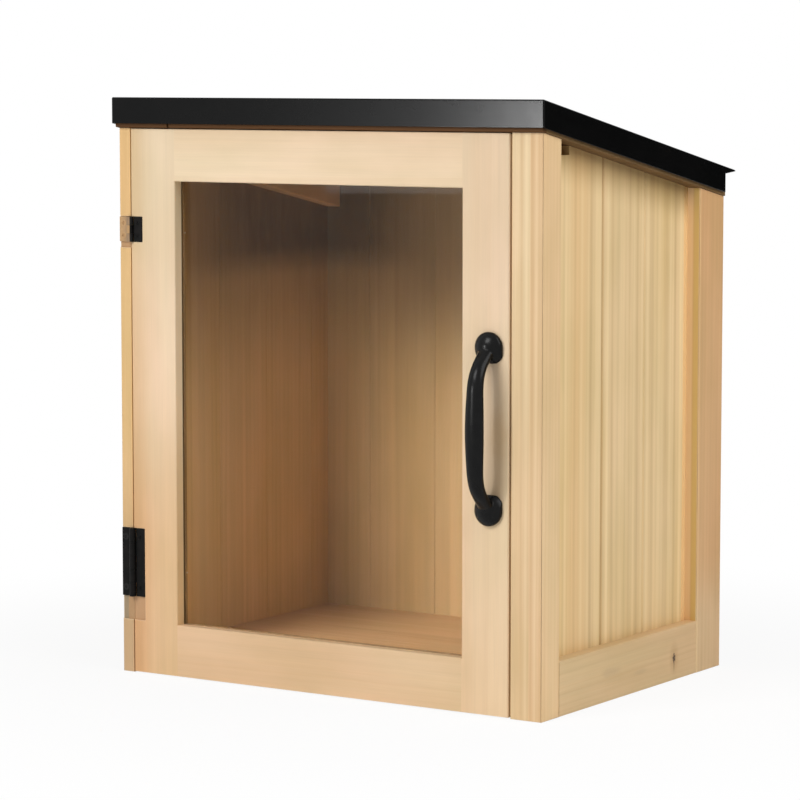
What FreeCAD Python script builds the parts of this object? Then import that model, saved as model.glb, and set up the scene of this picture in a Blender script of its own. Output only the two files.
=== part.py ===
import FreeCAD, Part
import math
import os
import re

import Sketcher

# Street book exchange box: a small wooden cabinet with a pitched metal roof and one glazed door.
# The frame has its origin in the middle of the underside. The door faces -Y, +X is the right
# side as a reader faces the door, and +Z is up. All sizes are millimetres and degrees.

SIZES = [
    ("box_width", 356, "over the two side frames"),
    ("box_depth", 258, "front face to back face"),
    ("wall_front_height", 396.8, "top of the walls at the front face"),
    ("roof_pitch", 11, "fall of the roof towards the back, degrees"),
    ("trim_thickness", 10, "side and back frame pieces"),
    ("board_thickness", 8, "tongue and groove boards"),
    ("board_cover", 60, "width that one board covers"),
    ("board_start", 37.5, "first full board joint, behind the front face"),
    ("back_edge_board", 40, "ripped board at each end of the back"),
    ("board_gap", 0.3, "open joint between two boards"),
    ("board_bevel", 1.2, "vee on the outer face of a joint"),
    ("tongue_thickness", 2.6, "tongue of a board"),
    ("tongue_length", 4, "tongue past its shoulder"),
    ("tongue_play", 0.1, "each side of a tongue in its groove"),
    ("tongue_end_play", 0.6, "past the end of a tongue"),
    ("edge_ease", 0.8, "broken edge on frame pieces"),
    ("front_stile_width", 24, "side frame, front"),
    ("rear_stile_width", 37, "side frame, rear, and back frame"),
    ("frame_rail_width", 38.3, "bottom and top rails of side and back frames"),
    ("notch_length", 27, "notch behind the front stile"),
    ("notch_drop", 16, "notch floor below the wall front height"),
    ("floor_thickness", 19, "floor board"),
    ("closing_strip_width", 14.75, "strip that the door closes against"),
    ("header_thickness", 12, "header behind the door's top"),
    ("header_drop", 24, "header below the wall front height"),
    ("cleat_width", 12, "roof cleat"),
    ("cleat_height", 18, "roof cleat"),
    ("deck_thickness", 19.6, "roof deck board"),
    ("deck_side_overhang", 1, "deck past the side frames"),
    ("deck_front_overhang", 2.7, "deck past the front face"),
    ("deck_nick_width", 1.6, "saw nick in the deck's front edge"),
    ("deck_nick_place", 47, "middle of the nick from the deck's left edge"),
    ("sheet_thickness", 1.2, "roof sheet"),
    ("sheet_play", 0.8, "deck edge to roof sheet"),
    ("sheet_flange", 18.9, "height of the turned-down flanges"),
    ("sheet_bend", 1, "outer radius of the bends"),
    ("sheet_flange_back", 3.5, "end of the side flange before the back face"),
    ("drip_reach", 11.6, "drip lip past the back face"),
    ("drip_gusset", 5.4, "lip gusset where the side flange ends"),
    ("roof_screw_front", 45, "front roof screws, behind the front face"),
    ("roof_screw_rear", 225, "rear roof screws, behind the front face"),
    ("roof_screw_bite", 12, "roof screw in its cleat"),
    ("door_thickness", 15, "door frame"),
    ("door_gap", 1.5, "between the door and the closing strip"),
    ("door_hinge_gap", 0.3, "between the door and the side frame on the hinge side"),
    ("door_top_gap", 0.5, "above the door"),
    ("door_bottom_gap", 0.6, "below the door"),
    ("door_back_gap", 1, "behind the closed door"),
    ("hinge_stile_width", 39.4, "door stile with the hinges, with its bevel"),
    ("latch_stile_width", 37.3, "door stile with the handle, with its bevel"),
    ("rail_width", 37.4, "door rail with its bevel"),
    ("opening_bevel", 0.6, "bevel round the glass opening"),
    ("tenon_thickness", 5, "rail tenon"),
    ("tenon_front", 5, "tenon behind the door's face"),
    ("tenon_length", 20, "rail tenon"),
    ("tenon_shoulder", 5, "tenon edge from the outer edge of the rail"),
    ("tenon_play", 0.1, "each side of a tenon"),
    ("tenon_end_play", 0.5, "past the end of a tenon"),
    ("rabbet_width", 8, "glass rabbet"),
    ("rabbet_depth", 7, "glass rabbet from the door's back"),
    ("glass_thickness", 3, "pane"),
    ("glass_play", 0.8, "pane edge to rabbet"),
    ("bead_play", 0.1, "glazing bead to its neighbours"),
    ("bead_bevel", 1.8, "bevel on a glazing bead"),
    ("brad_radius", 0.6, "glazing brad"),
    ("brad_length", 13, "glazing brad"),
    ("brad_inset", 45, "brad from the end of its bead"),
    ("hinge_leaf_width", 10.1, "leaf from the pin's axis"),
    ("hinge_leaf_thickness", 1.6, "hinge leaf"),
    ("hinge_gain_depth", 1.4, "recess that a leaf lies in"),
    ("hinge_gain_play", 0.2, "round a leaf in its recess"),
    ("lower_gain_overrun", 17, "lower recess past the hinge's lower end"),
    ("upper_gain_overrun", 4, "side frame's upper recess past the hinge's lower end"),
    ("knuckle_radius", 2.4, "hinge barrel"),
    ("knuckle_gap", 0.2, "between two knuckles"),
    ("knuckle_relief", 0.3, "leaf to the other leaf's knuckle"),
    ("hinge_pin_radius", 1.2, "hinge pin"),
    ("hinge_pin_play", 0.05, "pin in its knuckles, on the radius"),
    ("hinge_pin_head", 0.6, "head at each end of a pin, sunk in its knuckle"),
    ("hinge_pin_head_radius", 1.8, "head of a pin"),
    ("lower_hinge_bottom", 56.1, "height of the lower hinge"),
    ("lower_hinge_height", 50, "two inch butt hinge"),
    ("upper_hinge_drop", 64, "upper hinge below the wall front height"),
    ("upper_hinge_height", 18, "small butt hinge"),
    ("hinge_screw_out", 6.6, "hinge screw from the pin's axis"),
    ("lower_hinge_screw_inset", 6.5, "hinge screw from the lower hinge's end"),
    ("upper_hinge_screw_inset", 4.6, "hinge screw from the upper hinge's end"),
    ("wood_screw_radius", 1.2, "shank of the small screws"),
    ("wood_screw_head", 2.4, "head radius of the small screws"),
    ("wood_screw_sink", 1.4, "depth of a countersunk head"),
    ("wood_screw_tip", 2.5, "point of a screw"),
    ("screw_play", 0.05, "round a screw in its hole"),
    ("frame_screw_length", 12, "hinge screw in the side frame"),
    ("door_screw_length", 11, "hinge screw in the door"),
    ("handle_inset", 15.15, "middle of the handle from the door's right edge"),
    ("handle_height", 196.8, "middle of the handle"),
    ("handle_screw_spacing", 111, "handle screw holes"),
    ("handle_pad_width", 21, "handle foot"),
    ("handle_pad_inner", 11, "foot past its screw towards the grip"),
    ("handle_pad_corner", 5.5, "inner corners of a foot"),
    ("handle_dome_height", 7.5, "foot at its highest"),
    ("handle_dome_radius", 14, "dome of a foot"),
    ("grip_width", 14.1, "grip across"),
    ("grip_reach", 19.6, "middle of the grip from the door"),
    ("grip_thickness", 8.8, "grip at its middle"),
    ("machine_screw_radius", 2, "holes for the handle and roof screws"),
    ("machine_screw_play", 0.12, "round a handle or roof screw in its hole"),
    ("machine_screw_head", 4, "head radius of a handle screw"),
    ("machine_screw_head_height", 2.4, "head of a handle screw"),
    ("machine_screw_bite", 5, "handle screw in the foot"),
    ("catch_inset", 14.75, "middle of the catch from the door's right edge"),
    ("catch_length", 42, "catch flange"),
    ("catch_body", 28, "catch housing, along the door"),
    ("catch_depth", 13, "catch housing, front to back"),
    ("catch_height", 11, "catch housing with its flange"),
    ("catch_flange", 2.4, "catch flange"),
    ("catch_gap", 0.3, "strike plate to catch"),
    ("catch_screw_spacing", 35, "catch screws"),
    ("catch_screw_length", 10, "catch screws"),
    ("magnet_length", 22, "magnet"),
    ("magnet_height", 5, "magnet"),
    ("magnet_depth", 8, "magnet"),
    ("magnet_play", 0.1, "magnet in its pocket"),
    ("strike_length", 24, "strike plate"),
    ("strike_height", 10, "strike plate"),
    ("strike_thickness", 1.5, "strike plate"),
    ("strike_screw_length", 9, "strike screw"),
]

ALIASES = {alias for alias, value, note in SIZES}

doc = FreeCAD.newDocument("BookExchangeBox")
sheet = doc.addObject("Spreadsheet::Sheet", "Sizes")
for row, (alias, value, note) in enumerate(SIZES, start=1):
    sheet.set(f"A{row}", alias)
    sheet.set(f"B{row}", str(value))
    sheet.set(f"C{row}", note)
    sheet.setAlias(f"B{row}", alias)
doc.recompute()

NODES = []


# Expressions: every size is named, and an expression is written with the names alone.


def bound(text):
    """The expression with each size replaced by its cell in the sheet."""
    return re.sub(r"[a-z_]+", lambda m: f"Sizes.{m[0]}" if m[0] in ALIASES else m[0], str(text))


def number(text):
    """What an expression comes to now."""
    found = sheet.evalExpression(bound(text))
    return float(getattr(found, "Value", found))


def bind(thing, **sizes):
    """Ties properties of a document object to expressions."""
    for name, text in sizes.items():
        thing.setExpression(name, bound(text))


def bind_place(thing, x=0, y=0, z=0, prefix="Placement"):
    """Ties the place of an object to expressions."""
    for letter, text in zip("xyz", (x, y, z)):
        thing.setExpression(f"{prefix}.Base.{letter}", bound(text))


# Places that many pieces share.

HALF_WIDTH = "(box_width / 2)"
FRONT = "(-box_depth / 2)"
BACK = "(box_depth / 2)"
TRIM_IN = f"({HALF_WIDTH} - trim_thickness)"
WALL_IN = f"({TRIM_IN} - board_thickness)"
BEHIND_DOOR = f"({FRONT} + door_thickness + door_back_gap)"
BACK_TRIM_IN = f"({BACK} - trim_thickness)"
BACK_WALL_IN = f"({BACK_TRIM_IN} - board_thickness)"
FRONT_STILE_END = f"({FRONT} + front_stile_width)"
REAR_STILE_START = f"({BACK} - rear_stile_width)"
HEADER_BACK = f"({BEHIND_DOOR} + header_thickness)"
ABOVE_ALL = "(wall_front_height + 3 * deck_thickness)"
ABOVE_DECK = "deck_thickness + sheet_thickness"

DOOR_LEFT = f"(-{TRIM_IN} + door_hinge_gap)"
DOOR_RIGHT = f"({TRIM_IN} - closing_strip_width - door_gap)"
DOOR_BACK = f"({FRONT} + door_thickness)"
GLASS_LEFT = f"({DOOR_LEFT} + hinge_stile_width)"
GLASS_RIGHT = f"({DOOR_RIGHT} - latch_stile_width)"
GLASS_BOTTOM = "(door_bottom_gap + rail_width)"
GLASS_TOP = "(wall_front_height - door_top_gap - rail_width)"
GLASS_BACK = f"({DOOR_BACK} - rabbet_depth + glass_thickness)"

BEAD_WIDTH = "(rabbet_width - bead_play)"

HINGE_X = f"(-{TRIM_IN} + door_hinge_gap / 2)"
HINGE_Y = f"({FRONT} + hinge_gain_depth - knuckle_radius)"
UPPER_HINGE_BOTTOM = "(wall_front_height - upper_hinge_drop - upper_hinge_height)"
LEAF_FACE = f"({FRONT} + hinge_gain_depth - hinge_leaf_thickness)"
LEAF_BACK = f"({FRONT} + hinge_gain_depth)"
HANDLE_X = f"({DOOR_RIGHT} - handle_inset)"
CATCH_X = f"({DOOR_RIGHT} - catch_inset)"


def under_deck(y):
    """Height of the underside of the roof deck at a depth."""
    return f"(wall_front_height - (({y}) - {FRONT}) * tan(roof_pitch))"


def over_deck(y, thickness):
    """Height at a depth of a plane that lies a thickness above the underside of the deck."""
    return f"({under_deck(y)} + ({thickness}) / cos(roof_pitch))"


# Sketches and features.


def new_body(label):
    """An empty body that becomes a node."""
    body = doc.addObject("PartDesign::Body", label)
    body.Label = label
    NODES.append(body)
    return body


def new_sketch(body, name, plane, offset=0):
    """A sketch on an origin plane of the body, moved along the plane's normal."""
    sketch = body.newObject("Sketcher::SketchObject", f"{body.Label}_{name}")
    origin_plane = next(o for o in body.Origin.OriginFeatures if o.Role == f"{plane}_Plane")
    sketch.AttachmentSupport = [(origin_plane, "")]
    sketch.MapMode = "FlatFace"
    sketch.setExpression("AttachmentOffset.Base.z", bound(offset))
    return sketch


def fix_point(sketch, geometry, point, u, v):
    """Holds a point of the sketch at two expressions."""
    for kind, text in (("DistanceX", u), ("DistanceY", v)):
        index = sketch.addConstraint(Sketcher.Constraint(kind, -1, 1, geometry, point, number(text)))
        sketch.setExpression(f"Constraints[{index}]", bound(text))


def outline(body, name, plane, corners, offset=0):
    """A closed sketch of straight edges through corners given as pairs of expressions."""
    sketch = new_sketch(body, name, plane, offset)
    places = [FreeCAD.Vector(number(u), number(v), 0) for u, v in corners]
    count = len(corners)
    for i in range(count):
        sketch.addGeometry(Part.LineSegment(places[i], places[(i + 1) % count]), False)
    for i in range(count):
        sketch.addConstraint(Sketcher.Constraint("Coincident", i, 2, (i + 1) % count, 1))
    for i, (u, v) in enumerate(corners):
        fix_point(sketch, i, 1, u, v)
    return sketch


def rectangle(body, name, plane, low, high, offset=0):
    """A closed sketch of a rectangle between two opposite corners."""
    corners = [low, (high[0], low[1]), high, (low[0], high[1])]
    return outline(body, name, plane, corners, offset)


def circles(body, name, plane, centres, radius, offset=0):
    """A sketch of equal circles."""
    sketch = new_sketch(body, name, plane, offset)
    for i, (u, v) in enumerate(centres):
        middle = FreeCAD.Vector(number(u), number(v), 0)
        sketch.addGeometry(Part.Circle(middle, FreeCAD.Vector(0, 0, 1), number(radius)), False)
        fix_point(sketch, i, 3, u, v)
        index = sketch.addConstraint(Sketcher.Constraint("Radius", i, number(radius)))
        sketch.setExpression(f"Constraints[{index}]", bound(radius))
    return sketch


def pad(body, sketch, length, backwards=False):
    """Adds the sketch's shape, along its normal or backwards."""
    feature = body.newObject("PartDesign::Pad", f"{sketch.Label}_pad")
    feature.Profile = sketch
    feature.Reversed = backwards
    bind(feature, Length=length)
    return feature


def pocket(body, sketch, depth, forwards=False, taper=0):
    """Cuts the sketch's shape out, against its normal or forwards, and checks that wood came off."""
    doc.recompute()
    before = body.Shape.Volume
    feature = body.newObject("PartDesign::Pocket", f"{sketch.Label}_pocket")
    feature.Profile = sketch
    feature.Reversed = forwards
    feature.TaperAngle = taper
    bind(feature, Length=depth)
    doc.recompute()
    if not body.Shape.Volume < before:
        raise RuntimeError(f"{feature.Label} cuts nothing")
    return feature


def trim_to_roof(body, gap=0):
    """Cuts a body off along the underside of the roof deck, or a gap below it."""
    front_end = f"({FRONT} - deck_thickness)"
    back_end = f"({BACK} + deck_thickness)"
    corners = [
        (front_end, f"{under_deck(front_end)} - {gap}"),
        (back_end, f"{under_deck(back_end)} - {gap}"),
        (back_end, ABOVE_ALL),
        (front_end, ABOVE_ALL),
    ]
    sketch = outline(body, "roof_line", "YZ", corners, "box_width")
    pocket(body, sketch, "2 * box_width")


# Boards and frame pieces of the cabinet.


def board_section(inner, outer, low, high, outward, tongue, groove):
    """Corners of a board's section, as pairs across and along the wall.

    The board lies between inner and outer, outward is 1 or -1, and low and high are its joints.
    """
    middle = f"(({inner}) + ({outer})) / 2"
    half = "tongue_thickness / 2"
    wide = f"({half} + tongue_play)"
    deep = "tongue_length + tongue_end_play"
    shoulder = f"(({high}) - board_gap)" if tongue else high
    bevel_low = "board_bevel" if groove else "edge_ease"
    bevel_high = "board_bevel" if tongue else "edge_ease"
    corners = [(inner, low)]
    if groove:
        corners += [
            (f"{middle} - {outward} * {wide}", low),
            (f"{middle} - {outward} * {wide}", f"({low}) + {deep}"),
            (f"{middle} + {outward} * {wide}", f"({low}) + {deep}"),
            (f"{middle} + {outward} * {wide}", low),
        ]
    corners += [
        (f"({outer}) - {outward} * {bevel_low}", low),
        (outer, f"({low}) + {bevel_low}"),
        (outer, f"({shoulder}) - {bevel_high}"),
        (f"({outer}) - {outward} * {bevel_high}", shoulder),
    ]
    if tongue:
        corners += [
            (f"{middle} + {outward} * {half}", shoulder),
            (f"{middle} + {outward} * {half}", f"{shoulder} + tongue_length"),
            (f"{middle} - {outward} * {half}", f"{shoulder} + tongue_length"),
            (f"{middle} - {outward} * {half}", shoulder),
        ]
    return corners + [(inner, shoulder)]


def make_side_boards(side, sign):
    """The vertical boards of one side wall, front to back."""
    joints = [BEHIND_DOOR]
    joints += [f"({FRONT} + board_start + {i} * board_cover)" for i in range(4)]
    joints += [BACK_TRIM_IN]
    notch_end = f"({FRONT_STILE_END} + notch_length)"
    notch_floor = "(wall_front_height - notch_drop)"
    count = len(joints) - 1
    for i in range(count):
        body = new_body(f"{side}_board_{i + 1}")
        corners = board_section(
            f"{sign} * {WALL_IN}",
            f"{sign} * {TRIM_IN}",
            joints[i],
            joints[i + 1],
            sign,
            tongue=i < count - 1,
            groove=i > 0,
        )
        pad(body, outline(body, "section", "XY", corners), "wall_front_height")
        trim_to_roof(body)
        if i < 2:
            low = (FRONT_STILE_END, notch_floor)
            high = (notch_end, ABOVE_ALL)
            sketch = rectangle(body, "notch", "YZ", low, high, "box_width")
            pocket(body, sketch, "2 * box_width")


def make_back_boards():
    """The vertical boards of the back wall, left to right."""
    joints = [f"(-{WALL_IN})"]
    joints += [f"(-{WALL_IN} + back_edge_board + {i} * board_cover)" for i in range(5)]
    joints += [WALL_IN]
    count = len(joints) - 1
    for i in range(count):
        body = new_body(f"back_board_{i + 1}")
        section = board_section(
            BACK_WALL_IN,
            BACK_TRIM_IN,
            joints[i],
            joints[i + 1],
            1,
            tongue=i < count - 1,
            groove=i > 0,
        )
        corners = [(along, across) for across, along in section]
        pad(body, outline(body, "section", "XY", corners), "wall_front_height")
        trim_to_roof(body)


def eased_rectangle(inner, outer, low, high, outward):
    """Corners of a frame piece whose two outer edges are broken."""
    return [
        (inner, low),
        (f"({outer}) - {outward} * edge_ease", low),
        (outer, f"({low}) + edge_ease"),
        (outer, f"({high}) - edge_ease"),
        (f"({outer}) - {outward} * edge_ease", high),
        (inner, high),
    ]


def make_side_frame(side, sign):
    """The two stiles and the bottom rail that stand proud of one side wall."""
    inner = f"{sign} * {TRIM_IN}"
    outer = f"{sign} * {HALF_WIDTH}"
    front_stile = new_body(f"{side}_front_stile")
    section = eased_rectangle(inner, outer, FRONT, FRONT_STILE_END, sign)
    pad(front_stile, outline(front_stile, "section", "XY", section), "wall_front_height")
    trim_to_roof(front_stile)

    rear_stile = new_body(f"{side}_rear_stile")
    section = eased_rectangle(inner, outer, REAR_STILE_START, BACK, sign)
    pad(rear_stile, outline(rear_stile, "section", "XY", section), "wall_front_height")
    trim_to_roof(rear_stile)

    rail = new_body(f"{side}_bottom_rail")
    section = [
        (inner, 0),
        (outer, 0),
        (outer, "frame_rail_width - edge_ease"),
        (f"{outer} - {sign} * edge_ease", "frame_rail_width"),
        (inner, "frame_rail_width"),
    ]
    sketch = outline(rail, "section", "XZ", section, f"-{FRONT_STILE_END}")
    pad(rail, sketch, f"{REAR_STILE_START} - {FRONT_STILE_END}", backwards=True)
    return front_stile


def make_back_frame():
    """Stiles and rails behind the back boards, between the two side frames."""
    for side, sign in (("left", -1), ("right", 1)):
        stile = new_body(f"back_{side}_stile")
        outer = f"{sign} * {TRIM_IN}"
        inner = f"{sign} * ({TRIM_IN} - rear_stile_width)"
        low, high = (outer, inner) if sign < 0 else (inner, outer)
        section = eased_rectangle(BACK_TRIM_IN, BACK, low, high, 1)
        corners = [(along, across) for across, along in section]
        pad(stile, outline(stile, "section", "XY", corners), "wall_front_height")
        trim_to_roof(stile)
    rail_length = f"2 * ({TRIM_IN} - rear_stile_width)"
    rail_end = f"({TRIM_IN} - rear_stile_width)"
    rail_top = f"({under_deck(BACK)})"
    heights = {
        "back_bottom_rail": (0, "frame_rail_width"),
        "back_top_rail": (f"{rail_top} - frame_rail_width", ABOVE_ALL),
    }
    for label, (low, high) in heights.items():
        rail = new_body(label)
        section = eased_rectangle(BACK_TRIM_IN, BACK, low, high, 1)
        sketch = outline(rail, "section", "YZ", section, rail_end)
        pad(rail, sketch, rail_length, backwards=True)
    trim_to_roof(rail)


def make_inner_pieces():
    """Floor, closing strip, header and roof cleats."""
    floor = doc.addObject("Part::Box", "floor_board")
    floor.Label = "floor_board"
    bind(floor, Length=f"2 * {WALL_IN}", Width=f"{BACK_WALL_IN} - {BEHIND_DOOR}", Height="floor_thickness")
    bind_place(floor, f"-{WALL_IN}", BEHIND_DOOR, 0)
    NODES.append(floor)

    strip = new_body("closing_strip")
    low = f"({TRIM_IN} - closing_strip_width)"
    corners = [
        (TRIM_IN, FRONT),
        (TRIM_IN, BEHIND_DOOR),
        (low, BEHIND_DOOR),
        (low, f"{FRONT} + edge_ease"),
        (f"{low} + edge_ease", FRONT),
    ]
    pad(strip, outline(strip, "section", "XY", corners), "wall_front_height")
    trim_to_roof(strip)

    header = new_body("door_header")
    low = (BEHIND_DOOR, "wall_front_height - header_drop")
    high = (HEADER_BACK, ABOVE_ALL)
    pad(header, rectangle(header, "section", "YZ", low, high, WALL_IN), f"2 * {WALL_IN}", backwards=True)
    trim_to_roof(header)

    cleats = []
    for side, sign in (("left", -1), ("right", 1)):
        cleat = new_body(f"{side}_roof_cleat")
        cleats.append(cleat)
        corners = [
            (HEADER_BACK, f"{under_deck(HEADER_BACK)} - cleat_height"),
            (BACK_WALL_IN, f"{under_deck(BACK_WALL_IN)} - cleat_height"),
            (BACK_WALL_IN, under_deck(BACK_WALL_IN)),
            (HEADER_BACK, under_deck(HEADER_BACK)),
        ]
        sketch = outline(cleat, "side", "YZ", corners, f"{sign} * {WALL_IN}")
        pad(cleat, sketch, "cleat_width", backwards=sign > 0)
    return header, cleats


# Roof.


def make_roof():
    """Deck, folded sheet and screws."""
    deck_front = f"({FRONT} - deck_front_overhang)"
    deck_half = f"({HALF_WIDTH} + deck_side_overhang)"
    deck = new_body("roof_deck")
    corners = [
        (deck_front, under_deck(deck_front)),
        (BACK, under_deck(BACK)),
        (BACK, over_deck(BACK, "deck_thickness")),
        (deck_front, over_deck(deck_front, "deck_thickness")),
    ]
    pad(deck, outline(deck, "side", "YZ", corners, deck_half), f"2 * {deck_half}", backwards=True)
    nick_low = f"(deck_nick_place - deck_nick_width / 2 - {deck_half})"
    nick_top = f"({under_deck(deck_front)} + 2 * deck_nick_width)"
    low = (nick_low, f"{nick_top} - deck_thickness")
    high = (f"{nick_low} + deck_nick_width", nick_top)
    nick = rectangle(deck, "nick", "XZ", low, high, f"-{deck_front}")
    pocket(deck, nick, "deck_front_overhang")

    sheet_half = f"({deck_half} + sheet_play + sheet_thickness)"
    sheet_front = f"({deck_front} - sheet_play - sheet_thickness)"
    sheet_back = f"({BACK} + drip_reach)"
    flange_back = f"({BACK} - sheet_flange_back)"
    roof_sheet = new_body("roof_sheet")
    corners = [
        (sheet_front, over_deck(sheet_front, ABOVE_DECK)),
        (sheet_back, over_deck(sheet_back, ABOVE_DECK)),
        (sheet_back, over_deck(sheet_back, "deck_thickness")),
        (flange_back, f"{over_deck(flange_back, ABOVE_DECK)} - drip_gusset"),
        (flange_back, f"{over_deck(flange_back, ABOVE_DECK)} - sheet_flange"),
        (sheet_front, f"{over_deck(sheet_front, ABOVE_DECK)} - sheet_flange"),
    ]
    side = outline(roof_sheet, "side", "YZ", corners, sheet_half)
    pad(roof_sheet, side, f"2 * {sheet_half}", backwards=True)
    inner_front = f"({sheet_front} + sheet_thickness)"
    past_back = f"({sheet_back} + deck_thickness)"
    corners = [
        (inner_front, over_deck(inner_front, "deck_thickness")),
        (past_back, over_deck(past_back, "deck_thickness")),
        (past_back, f"{over_deck(past_back, 0)} - deck_thickness"),
        (inner_front, f"{over_deck(inner_front, 0)} - deck_thickness"),
    ]
    inside = outline(roof_sheet, "inside", "YZ", corners, f"{sheet_half} - sheet_thickness")
    pocket(roof_sheet, inside, f"2 * ({sheet_half} - sheet_thickness)")
    return deck, roof_sheet


def round_bends(roof_sheet):
    """Rounds the sheet's front and side bends and its two front corners."""
    doc.recompute()
    half = roof_sheet.Shape.BoundBox.XMax
    front = roof_sheet.Shape.BoundBox.YMin
    flat_sheet = roof_sheet.Tip
    near = number("sheet_bend") / 100
    names = []
    for index, edge in enumerate(flat_sheet.Shape.Edges, start=1):
        ends = [vertex.Point for vertex in edge.Vertexes]
        on_side = all(abs(abs(p.x) - half) < near for p in ends)
        on_front = all(abs(p.y - front) < near for p in ends)
        on_top = all(abs(p.z - number(over_deck(p.y, ABOVE_DECK))) < near for p in ends)
        upright = abs(ends[0].z - ends[-1].z) > number("sheet_flange") - near
        if on_side and on_front and upright or on_top and (on_side or on_front):
            names.append(f"Edge{index}")
    bends = roof_sheet.newObject("PartDesign::Fillet", "roof_sheet_bends")
    bends.Base = (flat_sheet, names)
    bind(bends, Radius="sheet_bend")
    doc.recompute()


# Round parts and fasteners.


def primitive(kind, name, x=0, y=0, z=0, **sizes):
    """A Part primitive with its sizes and place tied to expressions."""
    piece = doc.addObject(f"Part::{kind}", name)
    bind(piece, **sizes)
    bind_place(piece, x, y, z)
    return piece


def block(name, low, high):
    """A box between two opposite corners."""
    spans = [f"({b}) - ({a})" for a, b in zip(low, high)]
    return primitive("Box", name, *low, Length=spans[0], Width=spans[1], Height=spans[2])


def joined(name, pieces):
    """Several solids as one."""
    whole = doc.addObject("Part::MultiFuse", name)
    whole.Shapes = pieces
    whole.Refine = True
    return whole


def without(name, base, tools):
    """A solid with tools taken off, checked for having lost something."""
    doc.recompute()
    cutter = joined(f"{name}_cutter", tools) if len(tools) > 1 else tools[0]
    rest = doc.addObject("Part::Cut", name)
    rest.Base = base
    rest.Tool = cutter
    rest.Refine = True
    doc.recompute()
    if not rest.Shape.Volume < base.Shape.Volume:
        raise RuntimeError(f"{name} loses nothing")
    return rest


def node(piece, label):
    """Makes an object a node of its own."""
    piece.Label = label
    NODES.append(piece)
    return piece


def group(label, pieces):
    """One node of separate equal solids."""
    compound = doc.addObject("Part::Compound", label)
    compound.Links = pieces
    return node(compound, label)


AHEAD = {
    "+X": ((0, 1, 0), 90),
    "-X": ((0, 1, 0), -90),
    "+Y": ((1, 0, 0), -90),
    "-Y": ((1, 0, 0), 90),
    "+Z": ((1, 0, 0), 0),
    "-Z": ((1, 0, 0), 180),
}


def aim(piece, way):
    """Turns a piece that is made along +Z to run another way."""
    axis, degrees = AHEAD[way]
    place = piece.Placement.Base
    piece.Placement = FreeCAD.Placement(place, FreeCAD.Rotation(FreeCAD.Vector(*axis), degrees))


def sunk_screw(name, x, y, z, way, length, play=0):
    """A countersunk screw whose head's face is at x, y, z, driven the given way."""
    radius = f"(wood_screw_radius - {play})"
    rim = f"(wood_screw_head - {play})"
    head = primitive("Cone", f"{name}_head", Radius1=rim, Radius2=radius, Height="wood_screw_sink")
    shank = primitive("Cylinder", f"{name}_shank", Radius=radius, Height=f"({length}) - wood_screw_tip")
    tip_place = f"({length}) - wood_screw_tip"
    tip = primitive("Cone", f"{name}_tip", z=tip_place, Radius1=radius, Radius2=0, Height="wood_screw_tip")
    screw = joined(name, [head, shank, tip])
    bind_place(screw, x, y, z)
    aim(screw, way)
    return screw


def pan_screw(name, x, y, z, way, length):
    """A pan head screw whose head sits on x, y, z and whose shank runs the given way."""
    dome = primitive(
        "Cone",
        f"{name}_head",
        z="-machine_screw_head_height",
        Radius1="machine_screw_head - machine_screw_head_height / 2",
        Radius2="machine_screw_head",
        Height="machine_screw_head_height",
    )
    radius = "machine_screw_radius - machine_screw_play"
    shank = primitive("Cylinder", f"{name}_shank", Radius=radius, Height=length)
    screw = joined(name, [dome, shank])
    bind_place(screw, x, y, z)
    aim(screw, way)
    return screw


def on_roof(thing, prefix):
    """Lays a sketch or a node in the plane of the roof's top, with its origin over the front face."""
    top = over_deck(FRONT, ABOVE_DECK)
    slope = FreeCAD.Rotation(FreeCAD.Vector(-1, 0, 0), number("roof_pitch"))
    setattr(thing, prefix, FreeCAD.Placement(FreeCAD.Vector(), slope))
    bind_place(thing, 0, FRONT, top, prefix)
    thing.setExpression(f"{prefix}.Rotation.Angle", bound("roof_pitch"))


def make_roof_screws(bodies):
    """Four screws through the sheet and the deck into the cleats, with their holes."""
    left, right = (
        [
            (f"{sign} * ({WALL_IN} - cleat_width / 2)", f"{behind} / cos(roof_pitch)")
            for behind in ("roof_screw_front", "roof_screw_rear")
        ]
        for sign in (-1, 1)
    )
    length = "(sheet_thickness + deck_thickness + roof_screw_bite)"
    screws = [
        pan_screw(f"roof_screw_{i}", x, y, 0, "-Z", length)
        for i, (x, y) in enumerate(left + right, start=1)
    ]
    on_roof(group("roof_screws", screws), "Placement")
    holes = {"left_roof_cleat": left, "right_roof_cleat": right}
    for body in bodies:
        centres = holes.get(body.Label, left + right)
        sketch = circles(body, "screw_holes", "XY", centres, "machine_screw_radius")
        on_roof(sketch, "AttachmentOffset")
        pocket(body, sketch, f"{length} + machine_screw_play")


# Door.


def chamfer_opening(body):
    """Bevels the front edge of the glass opening, mitred at its corners."""
    low = (f"{GLASS_LEFT} - opening_bevel", f"{GLASS_BOTTOM} - opening_bevel")
    high = (f"{GLASS_RIGHT} + opening_bevel", f"{GLASS_TOP} + opening_bevel")
    sketch = rectangle(body, "bevel", "XZ", low, high, f"-{FRONT}")
    pocket(body, sketch, "opening_bevel", taper=-45)


def cut_rabbet(body):
    """Cuts the step round the opening that the glass lies in."""
    low = (f"{GLASS_LEFT} - rabbet_width", f"{GLASS_BOTTOM} - rabbet_width")
    high = (f"{GLASS_RIGHT} + rabbet_width", f"{GLASS_TOP} + rabbet_width")
    sketch = rectangle(body, "rabbet", "XZ", low, high, f"-{DOOR_BACK}")
    pocket(body, sketch, "rabbet_depth", forwards=True)


def tenon_heights(rail):
    """Lower and upper edge of a rail's tenon."""
    if rail == "bottom":
        return "(door_bottom_gap + tenon_shoulder)", f"({GLASS_BOTTOM} - rabbet_width - tenon_shoulder)"
    top = "(wall_front_height - door_top_gap - door_thickness * tan(roof_pitch) - tenon_shoulder)"
    return f"({GLASS_TOP} + rabbet_width + tenon_shoulder)", top


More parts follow.
